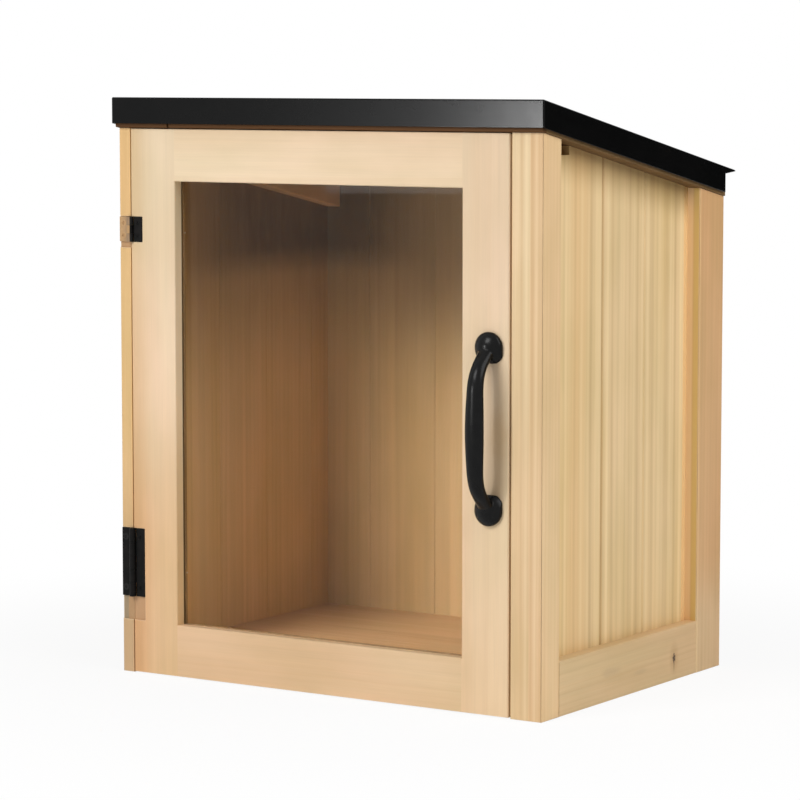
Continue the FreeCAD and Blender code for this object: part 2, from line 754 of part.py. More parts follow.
def make_door_stiles():
    """The two upright pieces of the door, mortised for the rails."""
    stiles = {}
    edges = {
        "door_hinge_stile": (DOOR_LEFT, GLASS_LEFT, False),
        "door_latch_stile": (GLASS_RIGHT, DOOR_RIGHT, True),
    }
    for label, (left, right, on_right) in edges.items():
        stile = new_body(label)
        outer = right if on_right else left
        step = "-edge_ease" if on_right else "edge_ease"
        inner = left if on_right else right
        corners = [
            (inner, FRONT),
            (inner, DOOR_BACK),
            (outer, DOOR_BACK),
            (outer, f"{FRONT} + edge_ease"),
            (f"{outer} + {step}", FRONT),
        ]
        sketch = outline(stile, "section", "XY", corners, "door_bottom_gap")
        pad(stile, sketch, "wall_front_height - door_bottom_gap")
        trim_to_roof(stile, "door_top_gap")
        chamfer_opening(stile)
        cut_rabbet(stile)
        for rail in ("bottom", "top"):
            low, high = tenon_heights(rail)
            front = f"({FRONT} + tenon_front - tenon_play)"
            back = f"({front} + tenon_thickness + 2 * tenon_play)"
            mortise = rectangle(
                stile,
                f"{rail}_mortise",
                "YZ",
                (front, f"{low} - tenon_play"),
                (back, f"{high} + tenon_play"),
                inner,
            )
            pocket(stile, mortise, "tenon_length + tenon_end_play", forwards=on_right)
        stiles[label] = stile
    return stiles


def make_door_rails():
    """The two level pieces of the door, tenoned into the stiles."""
    rails = {}
    spans = {"bottom": ("door_bottom_gap", GLASS_BOTTOM), "top": (GLASS_TOP, ABOVE_ALL)}
    for place, (low, high) in spans.items():
        rail = new_body(f"door_{place}_rail")
        sketch = rectangle(rail, "face", "XZ", (GLASS_LEFT, low), (GLASS_RIGHT, high), f"-{FRONT}")
        pad(rail, sketch, "door_thickness", backwards=True)
        if place == "top":
            trim_to_roof(rail, "door_top_gap")
        chamfer_opening(rail)
        cut_rabbet(rail)
        tenon_low, tenon_high = tenon_heights(place)
        tenon = rectangle(
            rail,
            "tenons",
            "XZ",
            (f"{GLASS_LEFT} - tenon_length", tenon_low),
            (f"{GLASS_RIGHT} + tenon_length", tenon_high),
            f"-({FRONT} + tenon_front)",
        )
        pad(rail, tenon, "tenon_thickness", backwards=True)
        rails[place] = rail
    return rails


def make_glazing(stiles, rails):
    """Pane, the four beads that hold it from behind and their brads."""
    edge = "(rabbet_width - glass_play)"
    pane_front = f"({GLASS_BACK} - glass_thickness)"
    low = (f"{GLASS_LEFT} - {edge}", pane_front, f"{GLASS_BOTTOM} - {edge}")
    high = (f"{GLASS_RIGHT} + {edge}", GLASS_BACK, f"{GLASS_TOP} + {edge}")
    node(block("door_glass", low, high), "door_glass")

    left = f"({GLASS_LEFT} - rabbet_width + bead_play)"
    right = f"({GLASS_RIGHT} + rabbet_width - bead_play)"
    bottom = f"({GLASS_BOTTOM} - rabbet_width + bead_play)"
    top = f"({GLASS_TOP} + rabbet_width - bead_play)"
    brad_depth = f"(({GLASS_BACK} + {DOOR_BACK}) / 2)"
    for place, outer, inward in (("bottom", bottom, 1), ("top", top, -1)):
        bead = new_body(f"{place}_glazing_bead")
        section = bead_section(outer, inward)
        sketch = outline(bead, "section", "YZ", section, right)
        pad(bead, sketch, f"{right} - {left}", backwards=True)
        centres = [(f"({left} + brad_inset)", brad_depth), (f"({right} - brad_inset)", brad_depth)]
        drill_brads(bead, rails[place], "XY", centres, outer, inward)
    for place, outer, inward in (("left", left, 1), ("right", right, -1)):
        bead = new_body(f"{place}_glazing_bead")
        section = bead_section(outer, inward)
        corners = [(across, depth) for depth, across in section]
        low = f"({bottom} + {BEAD_WIDTH} + bead_play)"
        high = f"({top} - {BEAD_WIDTH} - bead_play)"
        pad(bead, outline(bead, "section", "XY", corners, low), f"{high} - {low}")
        stile = stiles["door_hinge_stile" if place == "left" else "door_latch_stile"]
        centres = [(brad_depth, f"({bottom} + brad_inset)"), (brad_depth, f"({top} - brad_inset)")]
        drill_brads(bead, stile, "YZ", centres, outer, inward)
    make_brads(left, right, bottom, top, brad_depth)


def bead_section(outer, inward):
    """Corners of a bead's section, as pairs of depth and place, its inner back edge bevelled."""
    inner = f"({outer} + {inward} * {BEAD_WIDTH})"
    return [
        (GLASS_BACK, outer),
        (GLASS_BACK, inner),
        (f"{DOOR_BACK} - bead_bevel", inner),
        (DOOR_BACK, f"{inner} - {inward} * bead_bevel"),
        (DOOR_BACK, outer),
    ]


def drill_brads(bead, frame_piece, plane, centres, outer, inward):
    """Holes for two brads, through a bead and on into the wood beside it."""
    start = f"({outer} + {inward} * {BEAD_WIDTH})"
    depth = "brad_length + screw_play"
    for body in (bead, frame_piece):
        sketch = circles(body, f"brads_{bead.Label}", plane, centres, "brad_radius + screw_play", start)
        pocket(body, sketch, depth, forwards=inward < 0)


def make_brads(left, right, bottom, top, depth):
    """The eight brads, driven outwards from the inner faces of the beads."""
    brads = []
    for i, x in enumerate((f"{left} + brad_inset", f"{right} - brad_inset"), start=1):
        brads.append(brad(f"bottom_brad_{i}", x, depth, f"{bottom} + {BEAD_WIDTH}", "-Z"))
        brads.append(brad(f"top_brad_{i}", x, depth, f"{top} - {BEAD_WIDTH}", "+Z"))
    for i, z in enumerate((f"{bottom} + brad_inset", f"{top} - brad_inset"), start=1):
        brads.append(brad(f"left_brad_{i}", f"{left} + {BEAD_WIDTH}", depth, z, "-X"))
        brads.append(brad(f"right_brad_{i}", f"{right} - {BEAD_WIDTH}", depth, z, "+X"))
    group("glazing_brads", brads)


def brad(name, x, y, z, way):
    """One brad with its head at x, y, z, driven the given way."""
    pin = primitive("Cylinder", name, x, y, z, Radius="brad_radius", Height="brad_length")
    aim(pin, way)
    return pin


# Hinges.


def cut_gain(body, name, x_low, x_high, bottom, height, overrun):
    """The shallow recess that a hinge leaf lies in."""
    low = (x_low, f"{bottom} - hinge_gain_play - {overrun}")
    high = (x_high, f"{bottom} + {height} + hinge_gain_play")
    pocket(body, rectangle(body, name, "XZ", low, high, f"-{FRONT}"), "hinge_gain_depth")


def hinge_leaf(name, direction, bottom, height, knuckles, own, screw_heights):
    """One leaf with its knuckles. direction is -1 for the frame leaf and 1 for the door leaf."""
    edge = f"({HINGE_X} + {direction} * hinge_leaf_width)"
    x_low, x_high = (edge, HINGE_X) if direction < 0 else (HINGE_X, edge)
    low = (x_low, LEAF_FACE, bottom)
    high = (x_high, LEAF_BACK, f"{bottom} + {height}")
    plate = block(f"{name}_plate", low, high)
    barrel = upright_pin(f"{name}_barrel", bottom, height, "knuckle_radius")
    cuts = [upright_pin(f"{name}_bore", bottom, height, "hinge_pin_radius + hinge_pin_play")]
    if own == 0:
        cuts += hinge_pin_heads(f"{name}_counterbore", bottom, height, "hinge_pin_play")
    relief = "(knuckle_radius + knuckle_relief)"
    length = f"({height} / {knuckles})"
    for i in range(1 - own, knuckles, 2):
        below = f"({bottom} + {i} * {length} - knuckle_gap / 2)"
        above = f"({bottom} + {i + 1} * {length} + knuckle_gap / 2)"
        low = (f"{HINGE_X} - {relief}", f"{HINGE_Y} - {relief}", below)
        high = (f"{HINGE_X} + {relief}", f"{HINGE_Y} + {relief}", above)
        cuts.append(block(f"{name}_notch_{i}", low, high))
    for i, z in enumerate(screw_heights, start=1):
        x = f"{HINGE_X} + {direction} * hinge_screw_out"
        cuts.append(sunk_screw(f"{name}_hole_{i}", x, LEAF_FACE, z, "+Y", "door_screw_length"))
    blank = joined(f"{name}_blank", [plate, barrel])
    node(without(name, blank, cuts), name)


def make_hinges(frame_stile, door_stile):
    """Two butt hinges in the face of the frame and the door, their pins and screws."""
    hinges = {
        "lower": ("lower_hinge_bottom", "lower_hinge_height", 5),
        "upper": (UPPER_HINGE_BOTTOM, "upper_hinge_height", 3),
    }
    overruns = {
        "lower": {"frame": "lower_gain_overrun", "door": "lower_gain_overrun"},
        "upper": {"frame": "upper_gain_overrun", "door": "0"},
    }
    leaves = {
        "frame": (-1, 0, frame_stile, "frame_screw_length"),
        "door": (1, 1, door_stile, "door_screw_length"),
    }
    screws = {"frame": [], "door": []}
    for hinge, (bottom, height, knuckles) in hinges.items():
        inset = f"{hinge}_hinge_screw_inset"
        heights = [f"({bottom} + {inset})", f"({bottom} + {height} - {inset})"]
        for side, (direction, own, wood, length) in leaves.items():
            leaf = f"{hinge}_hinge_{side}_leaf"
            hinge_leaf(leaf, direction, bottom, height, knuckles, own, heights)
            far = f"({HINGE_X} + {direction} * (hinge_leaf_width + hinge_gain_play))"
            x_low, x_high = (far, HINGE_X) if direction < 0 else (HINGE_X, far)
            overrun = overruns[hinge][side]
            cut_gain(wood, f"{hinge}_gain", x_low, x_high, bottom, height, overrun)
            x = f"({HINGE_X} + {direction} * hinge_screw_out)"
            centres = [(x, z) for z in heights]
            holes = circles(wood, f"{hinge}_screw_holes", "XZ", centres, "wood_screw_radius", f"-{FRONT}")
            pocket(wood, holes, length)
            for i, z in enumerate(heights, start=1):
                name = f"{hinge}_{side}_screw_{i}"
                screws[side].append(sunk_screw(name, x, LEAF_FACE, z, "+Y", length, "screw_play"))
        rod = upright_pin(f"{hinge}_rod", bottom, height, "hinge_pin_radius")
        heads = hinge_pin_heads(f"{hinge}_pin_head", bottom, height, 0)
        node(joined(f"{hinge}_hinge_pin", [rod, *heads]), f"{hinge}_hinge_pin")
    group("frame_hinge_screws", screws["frame"])
    group("door_hinge_screws", screws["door"])


def upright_pin(name, z, height, radius):
    """A cylinder on a hinge's axis."""
    return primitive("Cylinder", name, HINGE_X, HINGE_Y, z, Radius=radius, Height=height)


def hinge_pin_heads(name, bottom, height, play):
    """The two heads of a hinge pin, flush with the ends of the barrel."""
    radius = f"hinge_pin_head_radius + {play}"
    starts = (bottom, f"{bottom} + {height} - hinge_pin_head")
    return [
        upright_pin(f"{name}_{i}", z, "hinge_pin_head", radius)
        for i, z in enumerate(starts, start=1)
    ]


# Handle.


def make_handle(stile):
    """Cast pull with two domed feet and an arched grip, held by screws from behind."""
    feet = [handle_foot(f"handle_foot_{name}", sign) for name, sign in (("bottom", -1), ("top", 1))]
    # Sections of the grip up to its middle: height as a share of the screw spacing, then shares of
    # the grip's reach, thickness and width.
    shares = [
        (-0.495, 0.18, 0.78, 0.74),
        (-0.45, 0.34, 1.28, 0.83),
        (-0.4, 0.62, 1.2, 0.79),
        (-0.33, 0.86, 1.02, 0.82),
        (-0.2, 0.97, 0.97, 0.91),
        (-0.1, 0.99, 0.99, 0.975),
        (0, 1, 1, 1),
    ]
    shares += [(-height, reach, thick, wide) for height, reach, thick, wide in reversed(shares[:-1])]
    sections = []
    for i, (height, reach, thick, wide) in enumerate(shares, start=1):
        section = primitive(
            "Ellipse",
            f"grip_section_{i}",
            HANDLE_X,
            f"{FRONT} - {reach} * grip_reach",
            f"handle_height + {height} * handle_screw_spacing",
            MajorRadius=f"{wide} * grip_width / 2",
            MinorRadius=f"{thick} * grip_thickness / 2",
        )
        sections.append(section)
    grip = doc.addObject("Part::Loft", "handle_grip")
    grip.Sections = sections
    grip.Solid = True
    grip.Ruled = False
    heights = [f"(handle_height + {sign} * handle_screw_spacing / 2)" for sign in (-1, 1)]
    bores = []
    for i, z in enumerate(heights, start=1):
        bore = primitive(
            "Cylinder",
            f"handle_bore_{i}",
            HANDLE_X,
            FRONT,
            z,
            Radius="machine_screw_radius",
            Height="machine_screw_bite + machine_screw_play",
        )
        aim(bore, "-Y")
        bores.append(bore)
    low = (f"{HANDLE_X} - handle_pad_width", FRONT, "handle_height - handle_screw_spacing")
    high = (f"{HANDLE_X} + handle_pad_width", DOOR_BACK, "handle_height + handle_screw_spacing")
    door_side = block("handle_door_side", low, high)
    blank = joined("handle_blank", [*feet, grip])
    node(without("door_handle", blank, [*bores, door_side]), "door_handle")
    centres = [(HANDLE_X, z) for z in heights]
    holes = circles(stile, "handle_screw_holes", "XZ", centres, "machine_screw_radius", f"-{FRONT}")
    pocket(stile, holes, "door_thickness")
    length = "(door_thickness + machine_screw_bite)"
    screws = [
        pan_screw(f"handle_screw_{i}", HANDLE_X, DOOR_BACK, z, "-Y", length)
        for i, z in enumerate(heights, start=1)
    ]
    group("handle_screws", screws)


def foot_outline(name):
    """Sketch of a handle foot: a half circle at the outer end and two rounded inner corners."""
    half = "(handle_pad_width / 2)"
    flat = f"({half} - handle_pad_corner)"
    side = "(handle_pad_inner - handle_pad_corner)"
    sketch = doc.addObject("Sketcher::SketchObject", name)
    runs = [
        ((half, 0), (half, side)),
        ((flat, "handle_pad_inner"), (f"-{flat}", "handle_pad_inner")),
        ((f"-{half}", side), (f"-{half}", 0)),
    ]
    bends = [
        ((flat, side), "handle_pad_corner", 0, 0.5),
        ((f"-{flat}", side), "handle_pad_corner", 0.5, 1),
        ((0, 0), half, 1, 2),
    ]
    for (start, end), (centre, radius, first, last) in zip(runs, bends):
        ends = [FreeCAD.Vector(number(u), number(v), 0) for u, v in (start, end)]
        line = sketch.addGeometry(Part.LineSegment(*ends), False)
        middle = FreeCAD.Vector(number(centre[0]), number(centre[1]), 0)
        circle = Part.Circle(middle, FreeCAD.Vector(0, 0, 1), number(radius))
        sketch.addGeometry(Part.ArcOfCircle(circle, first * math.pi, last * math.pi), False)
        fix_point(sketch, line, 1, *start)
        fix_point(sketch, line, 2, *end)
    count = 2 * len(runs)
    for i in range(count):
        sketch.addConstraint(Sketcher.Constraint("Coincident", i, 2, (i + 1) % count, 1))
    for i, ((u, v), radius, first, last) in enumerate(bends):
        height = Sketcher.Constraint("DistanceY", -1, 1, 2 * i + 1, 3, number(v))
        sketch.setExpression(f"Constraints[{sketch.addConstraint(height)}]", bound(v))
    return sketch


def handle_foot(name, sign):
    """A foot of the handle, domed on top. sign is 1 for the upper foot."""
    middle = f"(handle_height + {sign} * handle_screw_spacing / 2)"
    sketch = foot_outline(f"{name}_outline")
    facing = FreeCAD.Rotation(FreeCAD.Vector(1, 0, 0), 90)
    about = FreeCAD.Rotation(FreeCAD.Vector(0, 0, 1), 180 if sign > 0 else 0)
    sketch.Placement = FreeCAD.Placement(FreeCAD.Vector(), facing * about)
    bind_place(sketch, HANDLE_X, FRONT, middle)
    slab = doc.addObject("Part::Extrusion", f"{name}_slab")
    slab.Base = sketch
    slab.DirMode = "Normal"
    slab.Solid = True
    bind(slab, LengthFwd="handle_dome_height")
    centre = f"{FRONT} - handle_dome_height + handle_dome_radius"
    ball = primitive("Sphere", f"{name}_dome", HANDLE_X, centre, middle, Radius="handle_dome_radius")
    foot = doc.addObject("Part::Common", name)
    foot.Base = slab
    foot.Tool = ball
    return foot


# Catch.


def make_catch(header, stile):
    """Magnetic catch under the header and its strike plate on the back of the door."""
    strike_back = f"({DOOR_BACK} + strike_thickness)"
    front = f"({strike_back} + catch_gap)"
    back = f"({front} + catch_depth)"
    top = "(wall_front_height - header_drop)"
    middle = f"({top} - catch_height / 2)"
    screw_depth = f"(({front} + {back}) / 2)"
    screw_face = f"({top} - catch_flange)"
    screw_places = [f"{CATCH_X} + {sign} * catch_screw_spacing / 2" for sign in (-1, 1)]

    flange = catch_block("catch_flange", "catch_length", front, back, screw_face, top)
    box = catch_block("catch_box", "catch_body", front, back, f"{top} - catch_height", top)
    magnet_back = f"({front} + magnet_depth)"
    magnet_low = f"({middle} - magnet_height / 2)"
    magnet_high = f"({middle} + magnet_height / 2)"
    seat = catch_block(
        "catch_seat",
        "(magnet_length + 2 * magnet_play)",
        f"{front} - magnet_play",
        f"{magnet_back} + magnet_play",
        f"{magnet_low} - magnet_play",
        f"{magnet_high} + magnet_play",
    )
    holes, screws = (
        [
            sunk_screw(f"{name}_{i}", x, screw_depth, screw_face, "+Z", "catch_screw_length", play)
            for i, x in enumerate(screw_places, start=1)
        ]
        for name, play in (("catch_hole", 0), ("catch_screw", "screw_play"))
    )
    housing = without("catch_housing", joined("catch_blank", [flange, box]), [seat, *holes])
    node(housing, "catch_housing")
    magnet = catch_block("catch_magnet", "magnet_length", front, magnet_back, magnet_low, magnet_high)
    node(magnet, "catch_magnet")
    group("catch_screws", screws)
    centres = [(x, screw_depth) for x in screw_places]
    sketch = circles(header, "catch_screw_holes", "XY", centres, "wood_screw_radius", top)
    pocket(header, sketch, "catch_screw_length", forwards=True)

    plate_low = f"({middle} - strike_height / 2)"
    plate_high = f"({middle} + strike_height / 2)"
    plate = catch_block("strike_blank", "strike_length", DOOR_BACK, strike_back, plate_low, plate_high)
    hole, screw = (
        sunk_screw(name, CATCH_X, strike_back, middle, "-Y", "strike_screw_length", play)
        for name, play in (("strike_hole", 0), ("strike_screw", "screw_play"))
    )
    node(without("strike_plate", plate, [hole]), "strike_plate")
    node(screw, "strike_screw")
    centres = [(CATCH_X, middle)]
    sketch = circles(stile, "strike_screw_hole", "XZ", centres, "wood_screw_radius", f"-{DOOR_BACK}")
    pocket(stile, sketch, "strike_screw_length", forwards=True)


def catch_block(name, length, front, back, bottom, top):
    """A box centred on the catch from left to right."""
    low = (f"{CATCH_X} - {length} / 2", front, bottom)
    high = (f"{CATCH_X} + {length} / 2", back, top)
    return block(name, low, high)


def write_parts():
    """Checks every object and writes each node to its own file."""
    doc.recompute()
    for thing in doc.Objects:
        if {"Invalid", "Error"} & set(thing.State):
            raise RuntimeError(f"{thing.Label} is {thing.State}")
    os.makedirs("parts", exist_ok=True)
    for piece in NODES:
        shape = piece.Shape
        if shape.isNull() or not shape.isValid() or not shape.Solids:
            raise RuntimeError(f"{piece.Label} has no valid solid")
        shape.exportStep(f"parts/{piece.Label}.step")
    print(f"{len(NODES)} nodes, {sum(len(piece.Shape.Solids) for piece in NODES)} solids")


left_front_stile = make_side_frame("left", -1)
make_side_frame("right", 1)
make_side_boards("left", -1)
make_side_boards("right", 1)
make_back_boards()
make_back_frame()
header, cleats = make_inner_pieces()
deck, roof_sheet = make_roof()
make_roof_screws([deck, roof_sheet, *cleats])
round_bends(roof_sheet)
stiles = make_door_stiles()
rails = make_door_rails()
make_glazing(stiles, rails)
make_hinges(left_front_stile, stiles["door_hinge_stile"])
make_handle(stiles["door_latch_stile"])
make_catch(header, stiles["door_latch_stile"])
write_parts()
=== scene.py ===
"""Street book exchange box: finishes, fine shapes, studio and camera around the construction model."""

import logging
import math
from dataclasses import dataclass, replace
from enum import Enum

import bmesh
import bpy
from mathutils import Euler, Matrix, Vector


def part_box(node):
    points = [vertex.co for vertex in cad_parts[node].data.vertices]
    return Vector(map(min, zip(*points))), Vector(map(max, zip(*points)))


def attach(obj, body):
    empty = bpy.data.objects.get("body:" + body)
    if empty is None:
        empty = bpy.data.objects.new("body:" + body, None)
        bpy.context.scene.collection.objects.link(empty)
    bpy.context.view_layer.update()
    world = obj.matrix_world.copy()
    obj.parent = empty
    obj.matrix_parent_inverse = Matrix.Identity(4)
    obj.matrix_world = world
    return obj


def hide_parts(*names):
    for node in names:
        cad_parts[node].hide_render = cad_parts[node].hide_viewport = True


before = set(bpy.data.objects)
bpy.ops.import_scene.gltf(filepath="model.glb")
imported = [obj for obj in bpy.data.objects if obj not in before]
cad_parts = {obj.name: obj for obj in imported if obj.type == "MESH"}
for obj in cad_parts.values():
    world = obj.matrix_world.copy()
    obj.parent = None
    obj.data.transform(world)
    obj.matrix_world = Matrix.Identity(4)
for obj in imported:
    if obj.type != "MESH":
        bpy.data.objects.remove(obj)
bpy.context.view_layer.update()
LOG = logging.getLogger("book_box")
MM = 0.001
FAR = 900  # Millimetres, past every side of the box.
ROOF_PITCH = math.radians(11)
ROOF_UP = (0, math.sin(ROOF_PITCH), math.cos(ROOF_PITCH))
Triple = tuple[float, float, float]
Colour = Triple
Socket = bpy.types.NodeSocket
Material = bpy.types.Material
Mesh = bpy.types.Mesh
Shape = bmesh.types.BMesh
EVEN_TONE = (1.0, 1.0, 1.0)


def tint(red: float, green: float, blue: float) -> Colour:
    """Turns a colour as seen on screen, 0 to 255, into light, 0 to 1."""
    shares = (red / 255, green / 255, blue / 255)
    return tuple(s / 12.92 if s <= 0.04045 else ((s + 0.055) / 1.055) ** 2.4 for s in shares)


def stand(name: str, data: bpy.types.ID) -> bpy.types.Object:
    """Puts an object in the scene.

    Args:
        name: Its name.
        data: Its mesh, lamp or camera.

    Returns:
        The object.
    """
    thing = bpy.data.objects.new(name, data)
    bpy.context.scene.collection.objects.link(thing)
    return thing


class Body(Enum):
    """The bodies that pieces ride on."""

    CABINET = "cabinet"
    DOOR = "door"


class Grain(Enum):
    """The way that a board's fibres run, as the turn that brings them upright."""

    UPRIGHT = (0.0, 0.0, 0.0)
    ACROSS = (0.0, -math.pi / 2, 0.0)
    INWARD = (math.pi / 2, 0.0, 0.0)


class Graph:
    """A node tree, written from its inputs to its result."""

    def __init__(self, tree: bpy.types.NodeTree) -> None:
        """Empties the tree, ready to be filled."""
        self.tree = tree
        self.tree.nodes.clear()

    def feed(self, socket: Socket, value: object) -> None:
        """Links a socket or gives it a constant.

        Args:
            socket: The input.
            value: An output to link, or a constant.
        """
        if isinstance(value, Socket):
            self.tree.links.new(value, socket)
        elif isinstance(value, tuple) and len(value) == 3 and socket.type == "RGBA":
            socket.default_value = (*value, 1.0)
        else:
            socket.default_value = value

    def add(self, kind: str, inputs: dict | None = None, **settings: object) -> bpy.types.Node:
        """Adds a node.

        Args:
            kind: The node's type.
            inputs: Values or outputs for its inputs, by name or number.
            **settings: The node's own properties.

        Returns:
            The node.
        """
        node = self.tree.nodes.new(kind)
        for key, value in settings.items():
            setattr(node, key, value)
        for key, value in (inputs or {}).items():
            self.feed(node.inputs[key], value)
        return node

    def math(self, operation: str, first: object, second: object = 0.0, third: object = 0.0) -> Socket:
        """Adds a Math node on numbers or outputs and gives its result."""
        return self.add("ShaderNodeMath", {0: first, 1: second, 2: third}, operation=operation).outputs[0]

    def times(self, first: object, second: object) -> Socket:
        """Adds a product of numbers or outputs and gives it."""
        return self.math("MULTIPLY", first, second)

    def vector(self, operation: str, first: object, second: object = (0.0, 0.0, 0.0)) -> Socket:
        """Adds a Vector Math node and gives its vector, or the number that some operations give."""
        node = self.add("ShaderNodeVectorMath", {0: first, 1: second}, operation=operation)
        return node.outputs["Value" if operation in ("LENGTH", "DISTANCE", "DOT_PRODUCT") else "Vector"]

    def remap(
        self, value: object, start: float, end: float, low: float, high: float, kind: str = "LINEAR"
    ) -> Socket:
        """Adds a change of range, in which start and before it become low, and end and past it high."""
        inputs = {"Value": value, "From Min": start, "From Max": end, "To Min": low, "To Max": high}
        return self.add("ShaderNodeMapRange", inputs, interpolation_type=kind).outputs["Result"]

    def ease(self, value: object, start: float, end: float, low: float = 0, high: float = 1) -> Socket:
        """Adds a change of range that eases in and out."""
        return self.remap(value, start, end, low, high, "SMOOTHSTEP")

    def axes(self, place: Socket) -> list[Socket]:
        """Splits a vector into its three numbers."""
        return list(self.add("ShaderNodeSeparateXYZ", {0: place}).outputs)

    def seen(self) -> Socket:
        """Adds 1 for rays that come straight from the camera, a mirror or glass, and 0 for others."""
        path = self.add("ShaderNodeLightPath").outputs
        seen = self.math("MAXIMUM", path["Is Camera Ray"], path["Is Glossy Ray"])
        return self.math("MAXIMUM", seen, path["Is Transmission Ray"])


class Paint(Graph):
    """The node tree of one material.

    Attributes:
        material: The material.
        place: The place on the piece, in metres.
    """

    def __init__(self, name: str) -> None:
        """Makes the material and its tree.

        Args:
            name: The material's name.
        """
        self.material = bpy.data.materials.new(name)
        self.material.use_nodes = True
        super().__init__(self.material.node_tree)
        self.place = self.add("ShaderNodeTexCoord").outputs["Object"]

    def mix(self, share: object, first: object, second: object, blend: str = "MIX") -> Socket:
        """Adds a mix of two colours or outputs, with a share of the second, and gives it."""
        inputs = {0: share, 6: first, 7: second}
        return self.add("ShaderNodeMix", inputs, data_type="RGBA", blend_type=blend).outputs[2]

    def noise(self, stretch: Triple, detail: float = 2.0, place: Socket | None = None) -> Socket:
        """Adds noise, 0.5 in the mean, with its own number of bumps per metre along each axis."""
        spot = self.vector("MULTIPLY", place or self.place, stretch)
        return self.add("ShaderNodeTexNoise", {"Vector": spot, "Scale": 1.0, "Detail": detail}).outputs["Fac"]

    def waver(self, stretch: Triple, reach: float) -> Socket:
        """Adds slow noise that swings by reach to both sides of 0."""
        return self.math("MULTIPLY_ADD", self.noise(stretch, 1.0), 2 * reach, -reach)

    def rub(self, colour: Socket, worn: Colour, share: object) -> Socket:
        """Adds the colour of eased edges and gives the whole colour."""
        eased = self.add("ShaderNodeAttribute", attribute_name="eased").outputs["Fac"]
        return self.mix(self.times(eased, share), colour, worn)

    def principled(self, inputs: dict, height: Socket | None = None, depth: float = 0.0) -> Socket:
        """Adds the surface.

        Args:
            inputs: Values or outputs for the shader's sockets.
            height: Relief, 0 to 1.
            depth: The relief's depth in metres.

        Returns:
            The shader's output.
        """
        if height:
            bump = self.add("ShaderNodeBump", {"Height": height, "Strength": 1.0, "Distance": depth})
            inputs = {**inputs, "Normal": bump.outputs["Normal"]}
        return self.add("ShaderNodeBsdfPrincipled", inputs).outputs["BSDF"]

    def finish(self, shader: Socket) -> Material:
        """Ends the tree with what the surface shows and gives the material."""
        self.add("ShaderNodeOutputMaterial", {"Surface": shader})
        return self.material


class Mark:
    """Something that a stretch of wood or metal shows apart from its grain."""

    def lay_on(self, paint: Paint, colour: Socket) -> Socket:
        """Adds the mark to a colour in a material's tree and gives the new colour."""
        raise NotImplementedError


@dataclass(frozen=True)
class Knot(Mark):
    """A small dead knot with a short crack under it, on a side face, with its sizes in metres."""

    depth: float
    height: float
    radius: float
    crack: float
    squash: float = 0.55

    def lay_on(self, paint: Paint, colour: Socket) -> Socket:
        """Darkens the knot and its crack. Arguments and result are those of Mark.lay_on."""
        squeezed = paint.vector("MULTIPLY", paint.place, (0, 1, self.squash))
        distance = paint.vector("DISTANCE", squeezed, (0, self.depth, self.squash * self.height))
        ragged = paint.math("MULTIPLY_ADD", paint.noise((1100, 1100, 700)), 1.5 * self.radius, distance)
        core = paint.ease(ragged, 1.15 * self.radius, 1.75 * self.radius, 0.92, 0)
        halo = paint.ease(distance, 0.8 * self.radius, 3.5 * self.radius, 0.3, 0)
        _, side, height = paint.axes(paint.place)
        line = paint.math("ABSOLUTE", paint.math("ADD", side, -self.depth))
        thin = paint.ease(line, 0.2 * MM, 0.9 * MM, 0.7, 0)
        below = paint.ease(height, self.height - self.crack, self.height - 0.4 * self.crack)
        above = paint.ease(height, self.height, self.height + self.radius, 1, 0)
        crack = paint.times(thin, paint.times(below, above))
        warm = paint.mix(halo, colour, tint(176, 130, 84))
        cracked = paint.mix(crack, warm, tint(128, 92, 58))
        return paint.mix(core, cracked, tint(62, 42, 28))


@dataclass(frozen=True)
class Patch(Mark):
    """A stretch between two corners that has another colour.

    Attributes:
        low: Its lowest corner, in millimetres.
        high: Its highest corner, in millimetres.
        soft: How far its sides blur along each axis, in millimetres.
        colour: Its colour, or its tone where it multiplies.
        even: How even it is, 1 for no mottling.
        blend: The way that it mixes.
    """

    low: Triple
    high: Triple
    soft: Triple
    colour: Colour
    even: float = 0.7
    blend: str = "MIX"

    def lay_on(self, paint: Paint, colour: Socket) -> Socket:
        """Adds the stretch. Arguments and result are those of Mark.lay_on."""
        share = paint.remap(paint.noise((160, 160, 60), 3.0), 0.3, 0.7, self.even, 1)
        for across, low, high, soft in zip(paint.axes(paint.place), self.low, self.high, self.soft):
            rise = paint.ease(across, (low - soft) * MM, (low + soft) * MM)
            fall = paint.ease(across, (high - soft) * MM, (high + soft) * MM, 1, 0)
            share = paint.times(share, paint.times(rise, fall))
        return paint.mix(share, colour, self.colour, self.blend)


def shade(low: Triple, high: Triple, soft: Triple, tone: Colour, even: float = 0.9) -> Patch:
    """A stretch that multiplies the colour under it."""
    return Patch(low, high, soft, tone, even, "MULTIPLY")


@dataclass(frozen=True)
class Band(Mark):
    """A stripe that runs along a board or a leaf, between two places on the axis across it, in metres."""

    axis: int
    start: float
    end: float
    colour: Colour
    strength: float
    soft: float

    def lay_on(self, paint: Paint, colour: Socket) -> Socket:
        """Adds the stripe. Arguments and result are those of Mark.lay_on."""
        waver = paint.waver((30, 30, 5), 1.25 * self.soft)
        across = paint.math("ADD", paint.axes(paint.place)[self.axis], waver)
        rise = paint.ease(across, self.start - self.soft, self.start + self.soft, 0, self.strength)
        fall = paint.ease(across, self.end - self.soft, self.end + self.soft, 1, 0)
        return paint.mix(paint.times(rise, fall), colour, self.colour)


